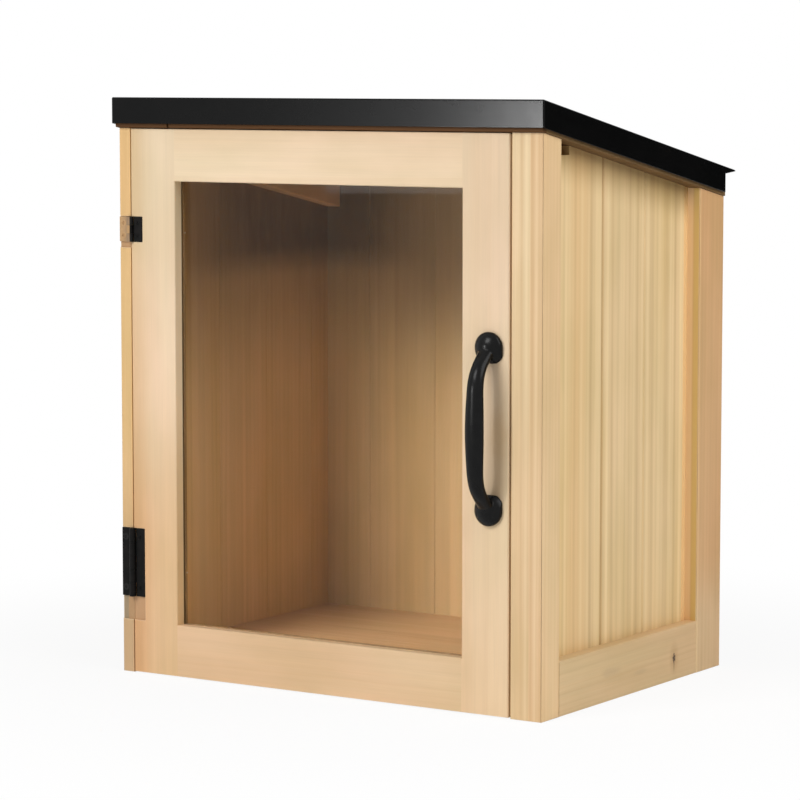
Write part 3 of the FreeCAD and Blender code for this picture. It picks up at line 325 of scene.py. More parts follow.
@dataclass(frozen=True)
class Streaks(Mark):
    """Upright streaks of darker and paler wood, straight over their whole height.

    Attributes:
        axis: The axis that runs across them.
        lines: For each, its place and half its width in millimetres, and its strength, below 0 if it is pale.
        dark: The colour of the dark ones.
        pale: The colour of the pale ones.
    """

    axis: int
    lines: tuple[Triple, ...]
    dark: Colour
    pale: Colour

    def lay_on(self, paint: Paint, colour: Socket) -> Socket:
        """Adds the streaks. Arguments and result are those of Mark.lay_on."""
        across = paint.math("ADD", paint.axes(paint.place)[self.axis], paint.waver((30, 30, 4), 1 * MM))
        worn = paint.remap(paint.noise((60, 60, 9)), 0.3, 0.7, 0.65, 1.2)
        for middle, half, strength in self.lines:
            off = paint.math("ABSOLUTE", paint.math("ADD", across, -middle * MM))
            share = paint.times(worn, paint.ease(off, 0, half * MM, abs(strength), 0))
            colour = paint.mix(share, colour, self.dark if strength > 0 else self.pale)
        return colour


@dataclass(frozen=True)
class Smudge(Mark):
    """A soft stain, with its middle and its reach along each axis in metres."""

    middle: Triple
    reach: Triple
    colour: Colour
    strength: float

    def lay_on(self, paint: Paint, colour: Socket) -> Socket:
        """Adds the stain. Arguments and result are those of Mark.lay_on."""
        offset = paint.vector("DIVIDE", paint.vector("SUBTRACT", paint.place, self.middle), self.reach)
        wobble = paint.math("MULTIPLY_ADD", paint.noise((60, 60, 60), 3.0), 1.2, -0.6)
        distance = paint.math("ADD", paint.vector("LENGTH", offset), wobble)
        return paint.mix(paint.ease(distance, 0.1, 1.0, self.strength, 0), colour, self.colour)


@dataclass(frozen=True)
class Fade(Mark):
    """A tone that grows slowly one way, between two places in metres, as where damp has darkened a foot."""

    way: Triple
    start: float
    end: float
    tone: Colour

    def lay_on(self, paint: Paint, colour: Socket) -> Socket:
        """Adds the tone and gives the new colour."""
        share = paint.ease(paint.vector("DOT_PRODUCT", paint.place, self.way), self.start, self.end)
        return paint.mix(share, colour, self.tone, "MULTIPLY")


@dataclass(frozen=True)
class Lay:
    """How a board lay in its log, and how its wood differs from other boards.

    Attributes:
        grain: The way that its fibres run.
        pith: A point that the log's middle passes through.
        seed: Picks the board's own stretch of the log.
        tone: Colour next to that of other boards.
        marks: What it shows apart from its grain.
    """

    grain: Grain
    pith: Triple
    seed: int
    tone: Colour = EVEN_TONE
    marks: tuple[Mark, ...] = ()

    def toned(self, colour: Colour) -> Colour:
        """The colour of an ordinary board in this board's tone."""
        return tuple(a * b for a, b in zip(colour, self.tone))


@dataclass(frozen=True)
class Wood:
    """Planed softwood under a thin clear coat: rings, fibres, streaks and blushes."""

    pale: Colour = tint(238, 214, 180)
    late: Colour = tint(214, 172, 122)
    blush: Colour = tint(236, 198, 164)
    ring: float = 3.4 * MM
    ring_strength: float = 0.3
    fibre: float = 0.035
    streak: float = 0.03
    waver: float = 3 * MM
    dull: Colour = (0.95, 0.955, 0.925)
    bright: Colour = (1.05, 1.04, 1.07)
    roughness: float = 0.5
    shine: float = 0.25
    worn: Colour = tint(250, 232, 202)

    # Bumps per metre across and along the fibres.
    BLUSHES = (16, 16, 3)
    FIBRES = (1300, 1300, 22)
    STREAKS = (190, 190, 2.6)
    CLOUDS = (21, 21, 9)
    SLOW_SWAY = (7, 7, 1.1)
    QUICK_SWAY = (38, 38, 4.5)
    # Metres between the stretches of log that two seeds pick.
    LOG_STEP = 0.83
    RELIEF = 0.03 * MM
    EDGE_WEAR = 0.25
    GLOSS_SPREAD = 0.06
    # Where in a year late wood starts, is full, starts to end and ends.
    YEAR = (0.3, 0.84, 0.92, 1.0)

    def material(self, name: str, lay: Lay) -> Material:
        """Makes one board's material.

        Args:
            name: The material's name.
            lay: How the board lay in its log.

        Returns:
            The material.
        """
        paint = Paint(name)
        turn = Euler(lay.grain.value)
        shift = -(turn.to_matrix() @ Vector(lay.pith)) + Vector((0, 0, self.LOG_STEP * lay.seed))
        inputs = {"Vector": paint.place, "Location": tuple(shift), "Rotation": lay.grain.value}
        log = paint.add("ShaderNodeMapping", inputs).outputs["Vector"]
        lines = self.rings(paint, log)
        blush = paint.ease(paint.noise(self.BLUSHES, place=log), 0.42, 0.66, 0, 0.5)
        ground = paint.mix(blush, lay.toned(self.pale), lay.toned(self.blush))
        ringed = paint.mix(lines, ground, lay.toned(self.late))
        fibre = paint.noise(self.FIBRES, 3.0, log)
        streak = paint.noise(self.STREAKS, place=log)
        fine = paint.remap(fibre, 0.3, 0.7, 1 - self.fibre, 1 + self.fibre)
        broad = paint.remap(streak, 0.3, 0.7, 1 - self.streak, 1 + self.streak)
        colour = paint.mix(1.0, ringed, paint.times(fine, broad), "MULTIPLY")
        cloud = paint.ease(paint.noise(self.CLOUDS, 3.0, log), 0.32, 0.68)
        colour = paint.mix(1.0, colour, paint.mix(cloud, self.dull, self.bright), "MULTIPLY")
        for mark in lay.marks:
            colour = mark.lay_on(paint, colour)
        relief = paint.math("MULTIPLY_ADD", lines, -0.6, fibre)
        dullest, glossiest = self.roughness + self.GLOSS_SPREAD, self.roughness - self.GLOSS_SPREAD
        surface = {
            "Base Color": paint.rub(colour, self.worn, self.EDGE_WEAR),
            "Roughness": paint.remap(streak, 0.2, 0.8, dullest, glossiest),
            "Specular IOR Level": self.shine,
        }
        return paint.finish(paint.principled(surface, relief, self.RELIEF))

    def rings(self, paint: Paint, log: Socket) -> Socket:
        """Adds the year rings.

        Args:
            paint: The wood's tree.
            log: The place in the log, its middle along Z.

        Returns:
            How much late wood there is, 0 to 1.
        """
        distance = paint.vector("LENGTH", paint.vector("MULTIPLY", log, (1, 1, 0)))
        sway = paint.math("MULTIPLY_ADD", paint.noise(self.SLOW_SWAY, 1.0, log), 6 * self.waver, distance)
        bent = paint.math("MULTIPLY_ADD", paint.noise(self.QUICK_SWAY, place=log), self.waver, sway)
        rings = paint.math("DIVIDE", bent, self.ring)
        phase = paint.add("ShaderNodeValToRGB", {"Fac": paint.math("FRACT", rings)})
        ramp = phase.color_ramp.elements
        ramp[0].position, ramp[1].position, fading, end = self.YEAR
        ramp.new(fading).color = (0.9, 0.9, 0.9, 1)
        ramp.new(end).color = (0, 0, 0, 1)
        year = paint.add("ShaderNodeTexWhiteNoise", {"W": paint.math("FLOOR", rings)}, noise_dimensions="1D")
        strength = paint.remap(year.outputs["Value"], 0, 1, 0.2 * self.ring_strength, self.ring_strength)
        return paint.times(phase.outputs["Color"], strength)


@dataclass(frozen=True)
class Coat:
    """Paint, plating or moulding.

    Attributes:
        colour: Its colour.
        mottled: The colour of its mottles.
        patch: Mottles per metre.
        roughness: Lowest and highest roughness.
        grain: Bumps per metre.
        depth: How deep the bumps are.
        metal: 1 for bare metal.
        shine: Specular level.
        worn: Colour on eased edges.
        marks: What it shows apart from its mottles.
    """

    colour: Colour
    mottled: Colour
    patch: float
    roughness: tuple[float, float]
    grain: float
    depth: float
    metal: float = 0.0
    shine: float = 0.5
    worn: Colour | None = None
    marks: tuple[Mark, ...] = ()

    def material(self, name: str) -> Material:
        """Makes the material.

        Args:
            name: The material's name.

        Returns:
            The material.
        """
        paint = Paint(name)
        patches = paint.ease(paint.noise((self.patch,) * 3, 4.0), 0.4, 0.65)
        colour = paint.mix(patches, self.colour, self.mottled)
        if self.worn:
            rubbed = paint.remap(paint.noise((90,) * 3, 4.0), 0.35, 0.7, 0.25, 1)
            colour = paint.rub(colour, self.worn, rubbed)
        for mark in self.marks:
            colour = mark.lay_on(paint, colour)
        gloss = paint.remap(paint.noise((2.3 * self.patch,) * 3), 0.3, 0.7, *self.roughness)
        surface = {
            "Base Color": colour, "Roughness": gloss, "Metallic": self.metal, "Specular IOR Level": self.shine
        }
        return paint.finish(paint.principled(surface, paint.noise((self.grain,) * 3), self.depth))


@dataclass(frozen=True)
class Pane:
    """Clear window glass with the faintest bloom of dust, which lets the lamps shine through."""

    bend: float = 1.2
    tone: Colour = (0.97, 0.985, 0.975)
    clear: Colour = (0.96, 0.97, 0.96)

    def material(self, name: str) -> Material:
        """Makes the material.

        Args:
            name: The material's name.

        Returns:
            The material.
        """
        paint = Paint(name)
        bloom = paint.ease(paint.noise((9, 9, 5), 4.0), 0.45, 0.75, 0.0, 0.035)
        surface = {"Base Color": self.tone, "Roughness": bloom, "IOR": self.bend, "Transmission Weight": 1.0}
        glass = paint.principled(surface)
        clear = paint.add("ShaderNodeBsdfTransparent", {"Color": self.clear}).outputs["BSDF"]
        shadow = paint.add("ShaderNodeLightPath").outputs["Is Shadow Ray"]
        mixed = paint.add("ShaderNodeMixShader", {0: shadow, 1: glass, 2: clear})
        return paint.finish(mixed.outputs["Shader"])


DOOR_WOOD = Wood(ring_strength=0.11, fibre=0.02, streak=0.02)
FRAME_WOOD = Wood(
    tint(234, 208, 168), tint(206, 164, 112), tint(232, 194, 152), ring_strength=0.18, fibre=0.025
)
BOARD_WOOD = Wood(
    tint(234, 205, 156), tint(188, 152, 102), tint(226, 192, 130), 5.2 * MM, 0.2, 0.03, 0.045, 1.2 * MM
)
INNER_WOOD = Wood(tint(206, 166, 120), tint(176, 130, 84), tint(196, 150, 104), worn=tint(214, 178, 132))
# Painted shade: the deck's wood is a dark brown that stands for the shade under the roof sheet's flanges.
SHADED_DECK_WOOD = Wood(
    tint(92, 62, 36), tint(70, 46, 26), tint(84, 56, 32), roughness=0.6, shine=0.1, worn=tint(104, 72, 44)
)
EDGE_STREAKS = Streaks(
    0,
    ((161.5, 1.8, 0.3), (165.2, 2, -0.3), (169.6, 2.2, 0.4), (172.8, 1.8, -0.25), (176.8, 2, 0.3)),
    tint(206, 166, 120),
    tint(250, 226, 184),
)
WALL_LINES = (
    (-81.4, 3.2, -0.4), (-69, 3.4, 0.12), (-60, 3.6, -0.45), (-47, 3.4, 0.36), (-37.7, 5, -0.55),
    (-31.6, 2, 0.8), (-24.2, 3, -0.7), (-17.7, 2.8, 0.34), (-4.5, 3.4, -0.35), (7.5, 3, 0.18),
    (13.5, 2.6, -0.25), (19, 2.8, 0.3), (25.5, 3, -0.3), (33, 3.4, -0.35), (39.4, 3.6, 0.24),
    (50.4, 5, -0.3), (60.5, 5, 0.22), (67.5, 2.6, -0.45), (74.5, 3.6, 0.26), (82.5, 4, -0.75),
)
WALL_STREAKS = Streaks(1, WALL_LINES, tint(184, 146, 98), tint(250, 222, 172))

ROOF_BLACK = Coat(
    (0.003, 0.0031, 0.0031), (0.0037, 0.0037, 0.0037), 40, (0.165, 0.18), 1500, 0.004 * MM, shine=0.11
)
HINGE_BLACK = Coat(
    (0.0045, 0.0045, 0.0042), (0.0075, 0.0065, 0.006), 160, (0.36, 0.5), 1400, 0.02 * MM, 0.0, 0.08,
    (0.014, 0.012, 0.01),
)
BRONZE = Coat(
    tint(196, 158, 114), tint(182, 146, 104), 70, (0.4, 0.6), 1400, 0.02 * MM, 0.0, 0.2, tint(202, 166, 122)
)
CAST_BLACK = Coat(
    (0.0035, 0.0035, 0.0036), (0.005, 0.005, 0.005), 120, (0.2, 0.27), 900, 0.006 * MM, shine=0.13
)
ZINC = Coat((0.55, 0.56, 0.57), (0.42, 0.42, 0.41), 300, (0.28, 0.45), 2500, 0.006 * MM, metal=1.0)
CATCH_BROWN = Coat(
    tint(120, 84, 58), tint(108, 74, 50), 90, (0.4, 0.5), 1200, 0.01 * MM, worn=tint(140, 104, 76)
)
FERRITE = Coat((0.03, 0.03, 0.032), (0.05, 0.05, 0.05), 500, (0.45, 0.6), 3000, 0.01 * MM)

BLACK_TONE = (0.0055, 0.005, 0.0045)
KNUCKLE_EDGE = -166.6 * MM  # Where the upper hinge turns from bronze to black.
TWO_TONE_LEAF = replace(
    HINGE_BLACK, marks=(Band(0, -180 * MM, KNUCKLE_EDGE, tint(186, 150, 108), 1.0, 0.15 * MM),)
)
BRONZE_LEAF = replace(
    BRONZE,
    marks=(
        Fade((1, 0, 0), -0.177, -0.168, (0.62, 0.66, 0.8)),
        Band(0, KNUCKLE_EDGE, -100 * MM, BLACK_TONE, 1.0, 0.15 * MM),
    ),
)
FRAME_SCREW = replace(BRONZE, marks=(Band(2, -0.1, 0.2, BLACK_TONE, 1.0, 1 * MM),))


@dataclass(frozen=True)
class Easing:
    """How a piece's edges are rounded and its faces shaded.

    Attributes:
        width: How far the rounding reaches into each face.
        shortest: Length under which an edge stays sharp.
        flat_area: Face area from which a face is shaded flat, or 0 to shade all faces flat.
        joints: Axis and place of planes whose edges stay sharp, in millimetres.
    """

    width: float
    shortest: float = 9 * MM
    flat_area: float = 0.0
    joints: tuple[tuple[int, float], ...] = ()


class Mesher:
    """Turns construction shapes into finished pieces."""

    MERGED = 0.002 * MM
    JOINT_PLAY = 0.02 * MM
    FLAT_TURN = math.radians(0.6)
    EASED_TURN = math.radians(50)
    SMOOTH_TURN = math.radians(35)

    @staticmethod
    def add(name: str, mesh: Mesh, material: Material, body: Body, slot: str, node: str) -> None:
        """Puts a finished mesh in the scene on its body and hides the node that it stands for.

        Args:
            name: The piece's name.
            mesh: Its mesh, in place.
            material: Its finish.
            body: The body that it moves with.
            slot: The record's material slot; not used.
            node: The construction node that it replaces.
        """
        mesh.name = name
        mesh.materials.clear()
        mesh.materials.append(material)
        piece = stand(name, mesh)
        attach(piece, body.value)
        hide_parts(node)
        LOG.info("%s: %d faces on %s", name, len(mesh.polygons), body.value)

    @classmethod
    def copy(cls, node: str) -> Shape:
        """Copies a construction mesh and joins its loose triangles into whole faces.

        Args:
            node: The node.

        Returns:
            The copy.
        """
        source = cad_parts[node]
        work = bmesh.new()
        work.from_mesh(source.data)
        work.transform(source.matrix_world)
        bmesh.ops.remove_doubles(work, verts=work.verts, dist=cls.MERGED)
        bmesh.ops.dissolve_degenerate(work, edges=work.edges, dist=cls.MERGED)
        bmesh.ops.dissolve_limit(work, angle_limit=cls.FLAT_TURN, verts=work.verts, edges=work.edges)
        return work

    @classmethod
    def ease(cls, work: Shape, easing: Easing) -> None:
        """Rounds the long sharp edges and marks the new faces.

        Args:
            work: The mesh.
            easing: How far, and which edges stay sharp.
        """
        eased = work.faces.layers.float.new("eased")

        def jointed(edge: bmesh.types.BMEdge) -> bool:
            """Whether the edge lies in a plane whose edges stay sharp."""
            return any(
                all(abs(corner.co[axis] - place * MM) < cls.JOINT_PLAY for corner in edge.verts)
                for axis, place in easing.joints
            )

        edges = [
            edge
            for edge in work.edges
            if edge.is_manifold
            and edge.calc_length() > easing.shortest
            and not jointed(edge)
            and edge.calc_face_angle_signed(0) > cls.EASED_TURN
        ]
        shape = {"offset_type": "OFFSET", "segments": 2, "profile": 0.5, "affect": "EDGES"}
        result = bmesh.ops.bevel(work, geom=edges, offset=easing.width, **shape)
        for face in result["faces"]:
            face[eased] = 1.0

    @classmethod
    def close(cls, work: Shape, flat_area: float = 0.0) -> Mesh:
        """Ends a mesh and sets its shading.

        Args:
            work: The mesh, which is freed.
            flat_area: Face area from which a face is shaded flat, or 0 to shade all faces flat.

        Returns:
            The finished mesh.
        """
        for face in work.faces:
            face.smooth = flat_area > 0 and face.calc_area() < flat_area
        for edge in work.edges:
            kinds = {face.smooth for face in edge.link_faces}
            edge.smooth = kinds == {True} and edge.calc_face_angle(0) < cls.SMOOTH_TURN
        mesh = bpy.data.meshes.new("piece")
        work.to_mesh(mesh)
        work.free()
        return mesh

    @classmethod
    def make(cls, node: str, made: str, easing: Easing, material: Material, body: Body, slot: str) -> None:
        """Makes the finished piece of a node by rounding its long edges.

        Args:
            node: The node.
            made: How it is made, which ends the piece's name.
            easing: How its edges are rounded.
            material: Its finish.
            body: The body that it moves with.
            slot: The record's material slot.
        """
        work = cls.copy(node)
        cls.ease(work, easing)
        cls.add(f"{node}_{made}", cls.close(work, easing.flat_area), material, body, slot, node)

    @classmethod
    def plane(cls, pieces: dict[str, Lay], wood: Wood, easing: Easing, body: Body, slot: str) -> None:
        """Makes pieces of planed wood.

        Args:
            pieces: How each node's board lay in its log.
            wood: Their wood.
            easing: How their edges are rounded.
            body: The body that they move with.
            slot: The record's material slot.
        """
        for node, lay in pieces.items():
            cls.make(node, "planed", easing, wood.material(f"{node}_wood", lay), body, slot)

    @staticmethod
    def applied(piece: bpy.types.Object) -> Mesh:
        """Turns an object with modifiers into a plain mesh and removes the object.

        Args:
            piece: The object.

        Returns:
            The mesh that its modifiers give.
        """
        depsgraph = bpy.context.evaluated_depsgraph_get()
        mesh = bpy.data.meshes.new_from_object(piece.evaluated_get(depsgraph), depsgraph=depsgraph)
        piece.modifiers.clear()
        bpy.data.objects.remove(piece)
        return mesh


def dress(node: str, material: Material) -> None:
    """Gives a construction node its finish.

    Args:
        node: The node.
        material: Its finish.
    """
    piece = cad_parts[node]
    if not piece.material_slots:
        piece.data.materials.append(material)
    for slot in piece.material_slots:
        slot.material = material


@dataclass
class Cabinet:
    """The box itself: walls of tongue and groove boards, and the frame pieces that stand proud of them.

    Attributes:
        rail_easing: The easing of the bottom rails, which meet the stiles in other planes.
        side_inside: A place between a side board's faces, near the inner one, in millimetres.
        back_inside: The same for a back board.
        recess: From just before to behind the floors of the hinge recesses, which get painted shade, in
            millimetres.
        stile_edge: From just before to behind the rear stile's front face, which gets painted light, in
            millimetres.
    """

    easing: Easing = Easing(0.5 * MM, joints=((0, -168), (0, 153.25), (0, 168)))
    rail_easing: Easing = Easing(0.5 * MM, joints=((1, -105), (1, 92)))
    side_inside: float = 160.2
    back_inside: float = 111.2
    recess: tuple[float, float] = (-127.95, -127.2)
    stile_edge: tuple[float, float] = (91, 92.05)
    # Painted shade: tone that darkens the inner faces of the wall boards, for the shade inside the box.
    inside_face_shade: Colour = (0.78, 0.68, 0.56)
    # Painted shade: tone that darkens the upper part of the inside walls, under the roof and header.
    high_inside_shade: Colour = (0.62, 0.58, 0.56)
    # Painted shade: tone that darkens the top left corner inside the box.
    corner: Colour = (0.36, 0.34, 0.34)
    # Painted shade: tone that darkens the side boards just under the roof's overhang.
    eaves_shade: Colour = (0.58, 0.53, 0.43)

    def build(self) -> None:
        """Builds every piece of the cabinet's woodwork."""
        for index in range(1, 6):
            self.dress_side("left", -1, index)
            self.dress_side("right", 1, index)
        for index in range(1, 7):
            self.dress_back(index)
        LOG.info("walls dressed")
        self.plane_stiles()
        self.plane_rails()
        self.plane_back()
        self.plane_strip()
        self.plane_inside()

    def dress_side(self, side: str, sign: int, index: int) -> None:
        """Gives a board of a side wall its own wood, with shade painted on its inside.

        Args:
            side: The side's name.
            sign: -1 for left, 1 for right.
            index: The board, from the front.
        """
        node = f"{side}_board_{index}"
        low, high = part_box(node)
        pith = (sign * (0.150 + 0.004 * index), (low.y + high.y) / 2 - 0.16 - 0.02 * (index % 3), 0)
        # Painted shade on the board's inner face.
        dark = Fade((sign, 0, 0), (self.side_inside + 0.1) * MM, (self.side_inside - 0.3) * MM, self.inside_face_shade)
        start, end = (-self.side_inside, FAR) if sign < 0 else (-FAR, self.side_inside)
        # Painted shade over the upper part of the inside.
        dim = shade((start, -FAR, 250), (end, FAR, FAR), (0.1, 1, 60), self.high_inside_shade)
        if sign < 0:
            # Painted shade in the top left corner inside.
            others = (shade((start, -45, 292), (-100, FAR, FAR), (0.1, 60, 14), self.corner),)
        else:
            others = self.right_marks(index)
        tone = (1.0, 1.0 - 0.004 * (index % 2), 1.0 - 0.012 * (index % 3))
        seed = (10 if sign < 0 else 20) + index
        lay = Lay(Grain.UPRIGHT, pith, seed, tone, (dark, dim, *others))
        dress(node, BOARD_WOOD.material(f"{node}_wood", lay))

    def dress_back(self, index: int) -> None:
        """Gives a board of the back wall its own wood, with shade painted on its inside.

        Args:
            index: The board, from the left.
        """
        node = f"back_board_{index}"
        low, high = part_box(node)
        inside = self.back_inside
        pith = ((low.x + high.x) / 2 + 0.03 * (-1) ** index, 0.075 - 0.01 * (index % 3), 0)
        # Painted shade on the board's inner face.
        dark = Fade((0, 1, 0), (inside + 0.1) * MM, (inside - 0.3) * MM, self.inside_face_shade)
        # Painted shade over the upper part of the inside.
        dim = shade((-FAR, -FAR, 250), (FAR, inside, FAR), (1, 0.1, 60), self.high_inside_shade)
        # Painted shade in the top left corner inside.
        deep = shade((-FAR, -FAR, 292), (-95, inside, FAR), (45, 0.1, 14), self.corner)
        lay = Lay(Grain.UPRIGHT, pith, 30 + index, marks=(dark, dim, deep))
        dress(node, BOARD_WOOD.material(f"{node}_wood", lay))

    def right_marks(self, index: int) -> tuple[Mark, ...]:
        """What the outside of one board of the right wall shows, with shade painted under the roof.

        Args:
            index: The board, from the front.

        Returns:
            Its marks.
        """
        heart = Band(1, 86.5 * MM, 140 * MM, tint(246, 204, 144), 0.8, 1.5 * MM)
        blush = Band(1, -76 * MM, -52 * MM, tint(232, 190, 134), 0.5, 7 * MM)
        # Painted shade under the roof's overhang.
        under_roof_shade = Fade(ROOF_UP, 0.334, 0.3645, self.eaves_shade)
        return (*{2: (blush,), 4: (heart,), 5: (heart,)}.get(index, ()), WALL_STREAKS, under_roof_shade)

    def plane_stiles(self) -> None:
        """Planes the stiles at the four corners."""
        before, behind = self.recess
        sharp = (0.1, 0.05, 0.1)
        hinge_marks = (
            Fade((0, 0, 1), 0.2, 0.02, (0.82, 0.86, 1.05)),
            # Painted shade: the floors of the hinge recesses are painted darker and greyer, for the shade
            # that falls in them.
            Patch((-177.9, before, 38), (-160, behind, 56.2), sharp, tint(178, 140, 102)),
            Patch((-177.9, before, 38), (-173.5, behind, 56.2), (0.5, 0.05, 0.1), tint(152, 137, 112)),
            Patch((-177.9, before, 310), (-160, behind, 333.2), sharp, tint(182, 142, 104)),
        )
        before, behind = self.stile_edge
        # Painted light: the rear stile's front edge face is painted paler and golden where the box shades it
        # from the key lamp, and its outer arris gets a painted highlight.
        rear_marks_and_painted_light = (
            Patch((160, before, 0), (173, behind, FAR), (1.5, 0.05, 1), tint(254, 220, 170), 0.9),
            Patch((173, before, 0), (177.9, behind, FAR), (1.5, 0.05, 1), tint(238, 206, 134), 0.9),
            Patch((177.1, 91.9, 0), (178.2, 93.4, FAR), (0.3, 1.4, 1), tint(248, 208, 152), 0.9),
            shade((177, 90, -20), (190, 140, 60), (0.3, 0.3, 30), (1.05, 1.2, 1.38)),
        )
        front = shade((168.2, -129.5, -10), (177.6, -128.4, FAR), (0.2, 0.1, 1), (0.9, 0.88, 0.9))
        up = Grain.UPRIGHT
        pieces = {
            "left_front_stile": Lay(up, (-0.20, -0.07, 0), 41, (0.91, 0.785, 0.58), hinge_marks),
            "right_front_stile": Lay(up, (0.11, -0.20, 0), 42, (1.03, 0.98, 0.88), (front, EDGE_STREAKS)),
            "left_rear_stile": Lay(up, (-0.10, 0.05, 0), 43),
            "right_rear_stile": Lay(up, (0.12, 0.05, 0), 44, (0.84, 0.68, 0.53), rear_marks_and_painted_light),
        }
        self.plane(pieces, self.easing)

    def plane_rails(self) -> None:
        """Planes the side walls' rails."""
        grey = tint(196, 168, 130)
        marks = (
            Smudge((0.178, -32 * MM, 20 * MM), (0.02, 19 * MM, 4 * MM), grey, 0.45),
            Smudge((0.178, 8 * MM, 14 * MM), (0.02, 12 * MM, 3 * MM), grey, 0.35),
            Knot(58.3 * MM, 16.1 * MM, 2.5 * MM, 12 * MM),
        )
        pieces = {
            "left_bottom_rail": Lay(Grain.INWARD, (-0.12, 0, 0.06), 45),
            "right_bottom_rail": Lay(Grain.INWARD, (0.12, 0, 0.07), 46, (0.88, 0.84, 0.75), marks),
        }
        self.plane(pieces, self.rail_easing)

    def plane_back(self) -> None:
        """Planes the back's stiles and rails."""
        left, right = Lay(Grain.UPRIGHT, (-0.12, 0.08, 0), 47), Lay(Grain.UPRIGHT, (0.17, 0.07, 0), 48)
        self.plane({"back_left_stile": left, "back_right_stile": right}, self.easing)
        self.plane({"back_bottom_rail": Lay(Grain.ACROSS, (0, 0.07, 0.05), 49)}, self.rail_easing)
        self.plane({"back_top_rail": Lay(Grain.ACROSS, (0, 0.08, 0.30), 50)}, self.easing)

    def plane_strip(self) -> None:
        """Planes the strip that the door closes against."""
        damp = Fade((0, 0, 1), 0.2, 0.02, (0.92, 0.91, 0.86))
        lay = Lay(Grain.UPRIGHT, (0.19, -0.19, 0), 51, (0.97, 0.96, 0.93), (damp, EDGE_STREAKS))
        self.plane({"closing_strip": lay}, self.easing)

    @staticmethod
    def plane(pieces: dict[str, Lay], easing: Easing) -> None:
        """Planes pieces of the frame."""
        Mesher.plane(pieces, FRAME_WOOD, easing, Body.CABINET, "frame_wood")

    def plane_inside(self) -> None:
        """Planes the floor board, header and roof cleats."""
        pieces = {
            "floor_board": Lay(Grain.ACROSS, (0, 0.02, -0.06), 61),
            "door_header": Lay(Grain.ACROSS, (0, -0.06, 0.34), 62),
            "left_roof_cleat": Lay(Grain.INWARD, (-0.19, 0, 0.33), 63),
            "right_roof_cleat": Lay(Grain.INWARD, (0.19, 0, 0.33), 64),
        }
        Mesher.plane(pieces, INNER_WOOD, replace(self.easing, joints=()), Body.CABINET, "inner_wood")


@dataclass
class Roof:
    """The board deck and the folded black sheet over it."""

    deck_easing: Easing = Easing(0.4 * MM)
    sheet_easing: Easing = Easing(0.2 * MM, 12 * MM, 60 * MM * MM)

    def build(self) -> None:
        """Builds the deck and the sheet."""
        # Painted shade: on the sides the deck is lightened to the tone of the shaded boards below the flange.
        side_shade_lift = shade((168, -127, 0), (190, 190, FAR), (1, 1, 1), (1.8, 2.4, 2.7))
        wood = SHADED_DECK_WOOD.material("deck_wood", Lay(Grain.ACROSS, (0, -0.02, 0.30), 71, marks=(side_shade_lift,)))
        Mesher.make("roof_deck", "boards", self.deck_easing, wood, Body.CABINET, "deck_wood")
        black = ROOF_BLACK.material("roof_black")
        Mesher.make("roof_sheet", "folded", self.sheet_easing, black, Body.CABINET, "roof_metal")


@dataclass
class Door:
    """The door's frame, its glazing beads and the pane."""

    easing: Easing = Easing(0.45 * MM, joints=((0, -167.7), (0, -128.3), (0, 114.45), (0, 151.75)))
    bead_easing: Easing = Easing(0.2 * MM)
    pane_easing: Easing = Easing(0.15 * MM)
    pane_play: float = 0.06 * MM

    def build(self) -> None:
        """Builds the door's wood and glass."""
        damp = Fade((0, 0, 1), 0.24, 0.02, (0.93, 0.88, 0.80))
        high_up = Fade((0, 0, 1), 0.2, 0.34, (0.93, 0.94, 0.95))
        hinge_marks = (
            Fade((0, 0, 1), 0.22, 0.08, (0.90, 0.78, 0.64)),
            Fade((-1, 0, 0), 0.145, 0.168, (0.88, 0.80, 0.68)),
            high_up,
            # Painted light: brightens the jamb of the glass opening on the hinge side, which lies in shade.
            shade((-128.5, -128.4, 30), (-127, -118, 370), (0.1, 0.2, 1), (1.13, 1.17, 1.12), 0.95),
            # Painted shade on the floor of the lower hinge recess.
            Patch((-167.6, -127.95, 38), (-156, -127.2, 56.2), (0.1, 0.05, 0.1), tint(190, 150, 112)),
        )
        # Painted shadow: a warm, darker patch beside the grip, where the handle's shadow falls.
        handle_shadow_tint = Smudge((0.144, -0.129, 0.19), (0.009, 0.02, 0.06), tint(220, 176, 118), 0.4)
        up, across = Grain.UPRIGHT, Grain.ACROSS
        pieces = {
            "door_hinge_stile": Lay(up, (-0.13, -0.21, 0), 81, marks=hinge_marks),
            "door_latch_stile": Lay(up, (0.10, -0.20, 0), 82, marks=(damp, high_up, handle_shadow_tint)),
            "door_bottom_rail": Lay(across, (0, -0.19, 0.06), 83, (0.96, 0.945, 0.92), (damp,)),
            "door_top_rail": Lay(across, (0, -0.20, 0.33), 84, (0.96, 0.97, 0.97)),
        }
        Mesher.plane(pieces, DOOR_WOOD, self.easing, Body.DOOR, "door_wood")
        sides = {"left": (up, 91), "right": (up, 92), "bottom": (across, 93), "top": (across, 94)}
        beads = {
            f"{side}_glazing_bead": Lay(grain, (0.04, -0.16, 0.10), seed, (0.5, 0.46, 0.42))
            for side, (grain, seed) in sides.items()
        }
        Mesher.plane(beads, INNER_WOOD, self.bead_easing, Body.DOOR, "door_wood")
        self.set_pane()

    def set_pane(self) -> None:
        """Builds the pane, a hair thinner than its seat, with ground edges."""
        work = Mesher.copy("door_glass")
        low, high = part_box("door_glass")
        for corner in work.verts:
            corner.co.y += self.pane_play if corner.co.y < (low.y + high.y) / 2 else -self.pane_play
        Mesher.ease(work, self.pane_easing)
        glass = Pane().material("window_glass")
        Mesher.add("door_pane", Mesher.close(work), glass, Body.DOOR, "glass", "door_glass")


